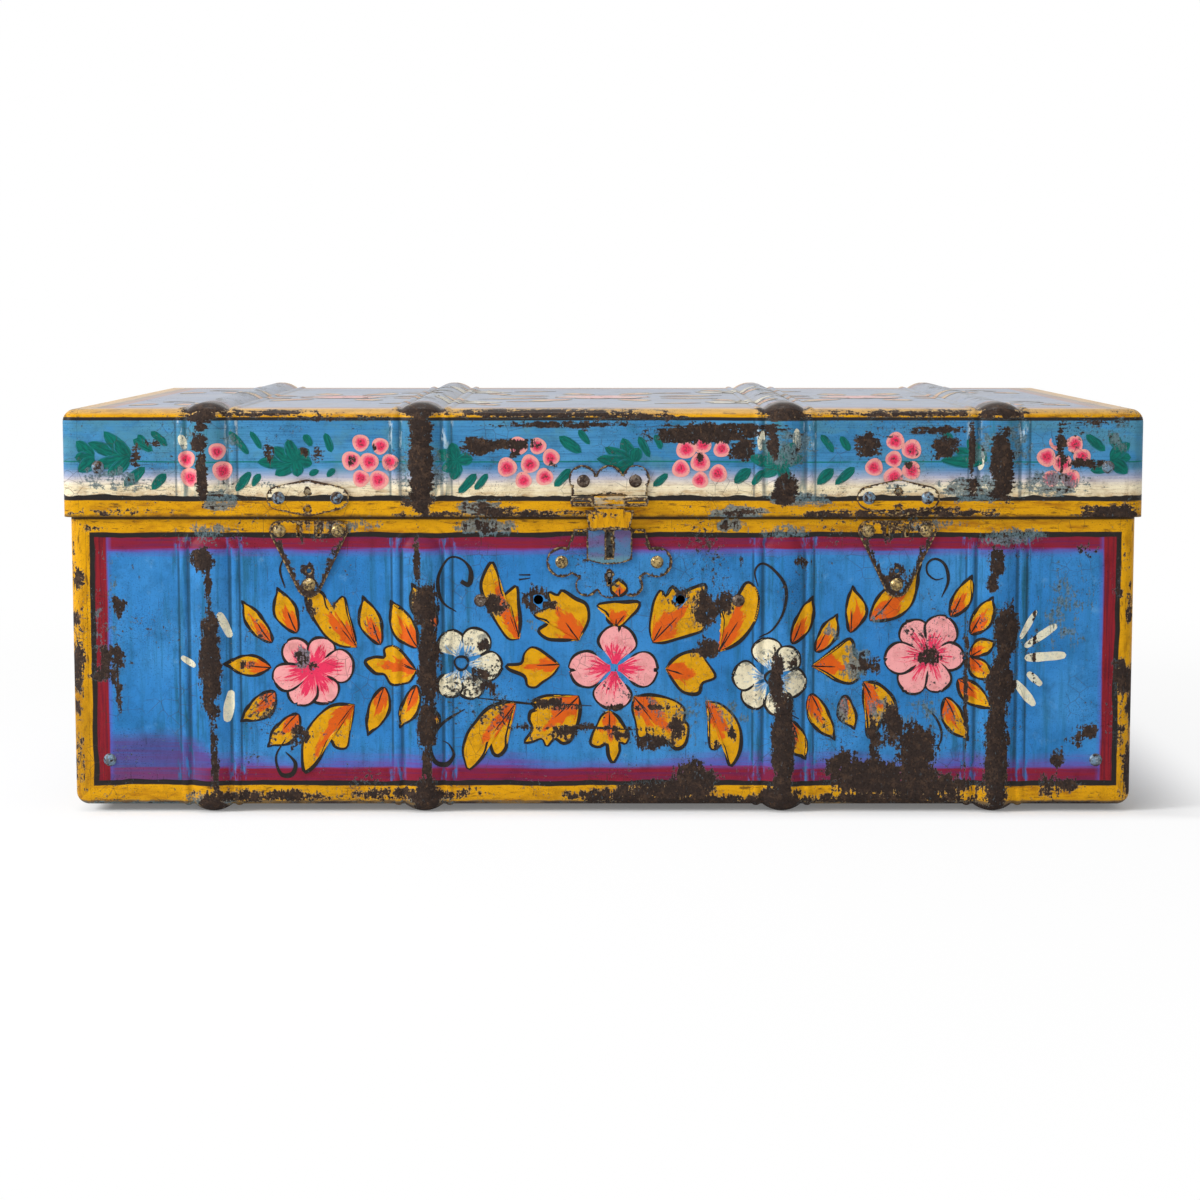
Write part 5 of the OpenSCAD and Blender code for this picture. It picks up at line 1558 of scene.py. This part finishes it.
    def close(self, body):
        """Makes one piece of the strokes of each finish."""
        paints = {
            "leaf": (leaf_paint, 0.04), "pink": (pink_paint, 0.02), "white": (white_paint, 0.05),
            "berry": (berry_paint, 0.0), "green": (green_paint, 0.0), "ink": (ink_paint, 0.0),
            "ray": (ray_paint, 0.0),
        }
        for kind, strokes in self.sets.items():
            name = f"film_{kind}"
            finish = named(name, film_finish, name, inks(), *paints[kind])
            strokes.close(f"{self.label}_{kind}", finish, body)


def bush(picture, x, z, tips):
    """Strokes of green that fan out from one foot."""
    for tip_x, tip_z in tips:
        shape = leaf_outline(x, z, tip_x, tip_z, 8.6, 0.4, 0.62, picture.next_seed())
        picture.fill("green", shape, (x, tip_x), (20, 8), (10, 6), picture.next_layer())


class TRUNK_OT_body(bpy.types.Operator):
    """Models the wrapped body sheet and finishes the two end panels"""

    bl_idname = "trunk.body"
    bl_label = "Body sheets"

    def execute(self, context):
        sheet = wrap_sheet("body_sheet", BODY, "body")
        thicken(sheet, body_paint(), zinc())
        places, height, radius = HANDLE_HOLES
        holes = [(x, height, radius, radius, True) for x in places]
        cut(sheet, holes + [(*opening, False) for opening in LOCK_OPENINGS])
        finish_piece(sheet, "trunk", "painted_sheet", "body_wrap")
        for side in ("left", "right"):
            end_panel(f"body_end_{side}", BODY, "body", "trunk", body_paint())
        return {"FINISHED"}


class TRUNK_OT_lid(bpy.types.Operator):
    """Models the wrapped lid sheet and finishes its two end panels"""

    bl_idname = "trunk.lid"
    bl_label = "Lid sheets"

    def execute(self, context):
        sheet = wrap_sheet("lid_sheet", LID, "lid")
        thicken(sheet, lid_paint(), zinc())
        finish_piece(sheet, "lid", "painted_sheet", "lid_wrap")
        for side in ("left", "right"):
            end_panel(f"lid_end_{side}", LID, "lid", "lid", lid_paint())
        return {"FINISHED"}


def end_panel(node, tub, which, body, finish):
    """End panel as a smooth shell, painted outside and zinc inside."""
    obj = copy_node(node, node.replace("end", "side"))
    mesh = obj.data
    set_finishes(mesh, finish, zinc())
    slice_mesh(obj, 2, tub.z(np.arange(PANEL_STEP, tub.height, PANEL_STEP)))
    # The tub as a rounded box that runs on past its open rim
    reach = tub.height / 2 + 50
    middle = np.array([0, 0, tub.z(reach)])
    half = np.array([tub.half_w, tub.half_d, reach]) - BEND_R
    for polygon in mesh.polygons:
        q = np.abs(np.array(polygon.center) / MM - middle) - half
        outside = np.linalg.norm(np.maximum(q, 0)) + min(q.max(), 0) - BEND_R
        t = (polygon.center.z / MM - tub.base) * tub.up
        polygon.material_index = 0 if outside > -SKIN_T or t > tub.height - RIM_H else 1
    write_wear(mesh, which)
    smooth(obj, 38)
    finish_piece(obj, body, "painted_sheet", node)


class TRUNK_OT_plates(bpy.types.Operator):
    """Finishes the lock plate, the hasp and the catch plates with rounded, rubbed edges"""

    bl_idname = "trunk.plates"
    bl_label = "Lock, hasp and catch plates"

    def execute(self, context):
        bevel = context.scene.trunk_sizes.plate_edge / MM
        for node, body, finish, rusty in (
            ("lock_plate", "trunk", body_paint(), 1.6),
            ("catch_base_left", "trunk", body_paint(), 3.6),
            ("catch_base_right", "trunk", body_paint(), 3.6),
            ("catch_keeper_left", "lid", lid_paint(), 1.3),
            ("catch_keeper_right", "lid", lid_paint(), 1.3),
            ("hasp_plate", "lid", lid_paint(), 1.4),
            ("hasp", "hasp", named("hasp_paint", hasp_finish, inks()), 0.9),
        ):
            obj = dress_plate(node, f"{node}_worn", finish, bevel, rusty)
            finish_piece(obj, body, "painted_hasp" if node == "hasp" else "worn_steel", node)
        return {"FINISHED"}


class TRUNK_OT_metal(bpy.types.Operator):
    """Gives rivets, hinges, wire and the parts of the lock their old metal finishes"""

    bl_idname = "trunk.metal"
    bl_label = "Metal finishes"

    def execute(self, context):
        c = inks()
        rusty = metal_finish("rusty_steel", c, rgb(104, 92, 82), rgb(66, 50, 42), 0.50, 0.5)
        steel = metal_finish("old_steel", c, rgb(132, 130, 126), rgb(92, 90, 88), 0.62, 0.36)
        brass = metal_finish("old_brass", c, rgb(176, 152, 100), rgb(84, 68, 50), 0.52, 0.34, size=2.6)
        painted = metal_finish(
            "painted_rivet", c, rgb(112, 138, 158), rgb(84, 66, 52), 0.50, 0.45, metallic=0.5
        )
        finishes = {
            "body_rim_wire": rusty, "handle_rivets": rusty, "hasp_plate_rivets": rusty,
            "body_seam_rivets": painted, "lid_seam_rivets": painted, "catch_keeper_rivets": painted,
            "catch_base_rivets": brass, "lock_rivets": brass, "lock_bolt": brass,
            "hinge_pin_left": steel, "hinge_pin_right": steel,
        }
        for node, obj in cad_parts.items():
            if obj.hide_render:
                continue
            finish = finishes.get(node, rusty if node.startswith("hinge") else steel)
            for slot in obj.material_slots:
                slot.material = finish
        return {"FINISHED"}


class TRUNK_OT_body_flowers(bpy.types.Operator):
    """Paints flowers, leaves and curls on the front and ends of the body"""

    bl_idname = "trunk.body_flowers"
    bl_label = "Flowers of the body"

    def execute(self, context):
        picture = Picture(BODY, "body", "front", "body_front")
        for leaf in BODY_LEAVES:
            picture.leaf(*leaf)
        for outline in LOBED_LEAVES:
            picture.lobed(outline)
        for x, z, petals in PINK_FLOWERS:
            picture.petals("pink", x, z, petals)
        for x, z, petals in WHITE_FLOWERS:
            picture.white_flower(x, z, petals, 4.2, x)
        picture.petals("pink", *HEART_FLOWER, start=2.4, notch=0.16, step=0)
        for points, widths in BODY_CURLS:
            picture.draw(curve_points(points), widths)
        for x0, z0, x1, z1, width in BODY_RAYS:
            shape = leaf_outline(x0, z0, x1, z1, width * 1.1, 0.0, 0.26, picture.next_seed())
            picture.of("ray").add(shape, 24, 6, 0.0)
        picture.leaf(10.4, 135.4, 10.2, 146, 9.5, 0, LOCK_PLATE_LIFT + BODY.dent(10.3, 136))
        picture.close("trunk")
        for side in ("left", "right"):
            picture = Picture(BODY, "body", side, f"body_{side}")
            spray(picture, 0, 95, 1.0)
            spray_half(picture, 105, 95)
            picture.close("trunk")
        return {"FINISHED"}


def petals_round(x, z, count, first, reach, radius):
    """Petals of an even flower, from the direction of the first."""
    turns = [math.radians(360 / count * i + first) for i in range(count)]
    return [(x + reach * math.cos(turn), z + reach * math.sin(turn), radius) for turn in turns]


def spray(picture, x, z, scale):
    """Pink flower with eight leaves round it."""
    picture.petals("pink", x, z, petals_round(x, z, 6, 12, 14 * scale, 8.4 * scale))
    for i in range(8):
        turn = math.radians(45 * i + 20 + 6 * math.sin(2.1 * i))
        c, s = math.cos(turn), math.sin(turn)
        reach = 58 + 6 * math.sin(1.7 * i)
        picture.leaf(
            x + 29 * scale * c, z + 29 * scale * s, x + reach * scale * c, z + reach * scale * s,
            13 * scale, 1.6 * (-1) ** i,
        )


def spray_half(picture, x, z):
    """Pair of white flowers and curls either side of the middle flower."""
    for side in (-1, 1):
        cx = side * x
        picture.white_flower(cx, z, petals_round(cx, z, 5, 18, 12.5, 7.8), 4.4, x)
        for dz in (-1, 1):
            picture.leaf(cx + side * 14, z + dz * 26, cx + side * 40, z + dz * 46, 13, 1.5 * dz)
            picture.leaf(cx - side * 6, z + dz * 27, cx - side * 20, z + dz * 52, 12, -1.5 * dz)
            picture.leaf(cx + side * 26, z + dz * 8, cx + side * 56, z + dz * 16, 11, dz)
            stops = ((6, 30), (2, 48), (12, 58), (18, 50), (12, 47))
            curl = [(cx + side * a, z + dz * b) for a, b in stops]
            picture.draw(curve_points(curl), (0.5, 1.6, 2.0, 2.8, 0.6))


class TRUNK_OT_lid_flowers(bpy.types.Operator):
    """Paints berries and green dabs round the lid and flowers on its top"""

    bl_idname = "trunk.lid_flowers"
    bl_label = "Berries and leaves of the lid"

    def execute(self, context):
        picture = Picture(LID, "lid", "front", "lid_front")
        for place in BUSHES:
            bush(picture, *place)
        for kind, dabs in (("green", GREEN_DABS), ("ray", LID_CHALK)):
            for x0, z0, x1, z1, width in dabs:
                shape = dab(x0, z0, x1, z1, width, picture.next_seed())
                picture.fill(kind, shape, (x0, x1), (16, 8), (8, 4), picture.next_layer())
        for x, z in BERRIES:
            shape = berry(x, z, picture.next_seed(), 0.3)
            picture.fill("berry", shape, (x,), (12, 12), (8, 8), BERRY_LIFT + picture.next_layer())
        picture.close("lid")
        for face in ("left", "right"):
            picture = Picture(LID, "lid", face, f"lid_{face}")
            for x in (-120, 0, 120):
                cluster(picture, x, 220)
                bush(picture, x + 58, 221, [(x + dx, 221 + dz) for dx, dz in END_BUSH])
                for dx, dz in ((30, 12), (40, 13), (34, -14), (44, -13)):
                    shape = dab(x + dx, 221 + dz * 0.4, x + dx + 7, 221 + dz, 5, picture.next_seed())
                    picture.of("green").add(shape, 8, 3, 0.0)
            picture.close("lid")
        picture = Picture(LID, "lid", "top", "lid_top")
        for x, z, scale in ((-178, 0, 1.3), (0, 0, 1.45), (178, 0, 1.3)):
            spray(picture, x, z, scale)
        for x in (-89, 89):
            for z in (-96, 96):
                picture.white_flower(x, z, petals_round(x, z, 5, 8, 14, 8.6), 4.6, x)
                for turn in (20, 100, 200, 290):
                    c, s = math.cos(math.radians(turn)), math.sin(math.radians(turn))
                    picture.leaf(x + 27 * c, z + 27 * s, x + 56 * c, z + 56 * s, 13, 1.5)
        for x in (-278, 278):
            for z in (-110, 110):
                curl = [(x, z), (x + 10, z + 16), (x, z + 30), (x - 10, z + 20), (x - 3, z + 14)]
                picture.draw(curve_points(curl), (0.6, 2.2, 1.8, 3.4, 0.7))
                picture.leaf(x - 12, z - 10, x - 22, z - 38, 13, 1.5)
                picture.leaf(x + 8, z - 10, x + 18, z - 38, 13, -1.5)
        picture.close("lid")
        return {"FINISHED"}


def cluster(picture, x, z):
    """Seven berries close together."""
    for dx, dz in ((0, 0), (-11, 1), (11, -1), (-6, 10), (6, 10), (-5, -10), (6, -9)):
        shape = berry(x + dx, z + dz, picture.next_seed())
        picture.of("berry").add(shape, 8, 8, BERRY_LIFT + picture.next_layer())


def stage_finish():
    """White floor that keeps a soft shadow."""
    s = Shade("pale_floor")
    grain = s.noise(4, 3, 0.5)
    colour = s.mix(grain * 0.4, rgb(251, 251, 251), rgb(246, 246, 246))
    inputs = {"Base Color": colour, "Roughness": 1.0, "Specular IOR Level": 0.0}
    plain = s.node("ShaderNodeBsdfPrincipled", inputs=inputs)
    glow = s.node("ShaderNodeEmission", inputs={"Color": (1, 1, 1, 1), "Strength": 1.0})
    far = s.ramp(s.vector("LENGTH", s.p, out="Value"), 380, 1100)
    beside = s.ramp((abs(s.x) - BODY.half_w).most((abs(s.y) - BODY.half_d) * 2.5), 0, 85) * 0.7 + 0.16
    beside = beside.most(s.ramp(s.x, -300, -335) * 0.85)
    mixed = s.node("ShaderNodeMixShader", inputs=(s.seen() * s.blend(far, beside, 1.0), plain, glow))
    s.node("ShaderNodeOutputMaterial", inputs=(mixed,), out=None)
    return s.material


def white_world():
    """White surroundings for the eye and reflections, softer for the light that they give."""
    world = bpy.data.worlds.new("studio_world")
    bpy.context.scene.world = world
    s = Nodes(world)
    strength = s.node("ShaderNodeMapRange", inputs={0: s.seen(), 3: 0.36, 4: 1.0})
    background = s.node("ShaderNodeBackground", inputs={"Color": (1, 1, 1, 1), "Strength": strength})
    s.node("ShaderNodeOutputWorld", inputs=(background,), out=None)


def lamp(name, place, target, size, power):
    """Square area lamp that points at a target."""
    data = bpy.data.lights.new(name, "AREA")
    data.shape, data.size, data.energy = "SQUARE", size, power
    obj = add_object(name, data)
    obj.location = place
    obj.rotation_euler = (Vector(target) - Vector(place)).to_track_quat("-Z", "Y").to_euler()


# Side of the floor, and the camera's place across the front, in metres
FLOOR_W = 12
CAMERA_X = -0.0018


class TRUNK_OT_stage(bpy.types.Operator):
    """Adds floor, lamps, surroundings and the camera"""

    bl_idname = "trunk.stage"
    bl_label = "Stage"

    def execute(self, context):
        sizes = context.scene.trunk_sizes
        floor = grid("floor", 4, 4)
        floor.data.transform(Matrix.Diagonal((FLOOR_W, FLOOR_W, 1, 1)))
        set_finishes(floor.data, stage_finish())
        white_world()
        lamp("key", (-2.3, -1.2, 1.3), (0, 0, 0.12), 0.7, 50)
        lamp("front", (0.6, -2.6, 1.1), (0, 0, 0.12), 1.4, 8)
        lamp("above", (-0.2, -0.4, 2.2), (0, 0, 0.2), 0.9, 17)
        data = bpy.data.cameras.new("camera")
        data.lens, data.sensor_width = sizes.lens, 36
        data.clip_start, data.clip_end = 0.05, 50
        camera = add_object("camera", data)
        camera.location = (CAMERA_X, -(BODY.half_d * MM + sizes.camera_away), sizes.camera_height)
        camera.rotation_euler = Euler((math.pi / 2 - sizes.camera_pitch, 0, 0))
        context.scene.camera = camera
        context.scene.view_settings.view_transform = "Standard"
        return {"FINISHED"}


class TRUNK_PT_panel(bpy.types.Panel):
    """Sizes, colours and steps of the trunk in the sidebar"""

    bl_label = "Painted metal trunk"
    bl_idname = "TRUNK_PT_panel"
    bl_space_type = "VIEW_3D"
    bl_region_type = "UI"
    bl_category = "Trunk"

    def draw(self, context):
        scene = context.scene
        for group in (scene.trunk_sizes, scene.trunk_colours):
            for name in group.bl_rna.properties.keys():
                if name not in ("rna_type", "name"):
                    self.layout.prop(group, name)
        for operator in OPERATORS:
            self.layout.operator(operator.bl_idname)


OPERATORS = (
    TRUNK_OT_stage, TRUNK_OT_body, TRUNK_OT_lid, TRUNK_OT_plates, TRUNK_OT_metal,
    TRUNK_OT_body_flowers, TRUNK_OT_lid_flowers,
)
CLASSES = (TrunkSizes, TrunkColours, *OPERATORS, TRUNK_PT_panel)


def register():
    """Registers the classes and the scene's own sizes and colours."""
    for cls in CLASSES:
        bpy.utils.register_class(cls)
    bpy.types.Scene.trunk_sizes = PointerProperty(type=TrunkSizes)
    bpy.types.Scene.trunk_colours = PointerProperty(type=TrunkColours)


def unregister():
    """Takes back what register did."""
    del bpy.types.Scene.trunk_colours
    del bpy.types.Scene.trunk_sizes
    for cls in reversed(CLASSES):
        bpy.utils.unregister_class(cls)


def main():
    """Builds the scene."""
    register()
    bpy.ops.trunk.stage()
    bpy.ops.trunk.body()
    bpy.ops.trunk.lid()
    bpy.ops.trunk.plates()
    bpy.ops.trunk.metal()
    bpy.ops.trunk.body_flowers()
    bpy.ops.trunk.lid_flowers()
    for blank in Strokes.blanks.values():
        bpy.data.objects.remove(blank)


if __name__ == "__main__":
    main()
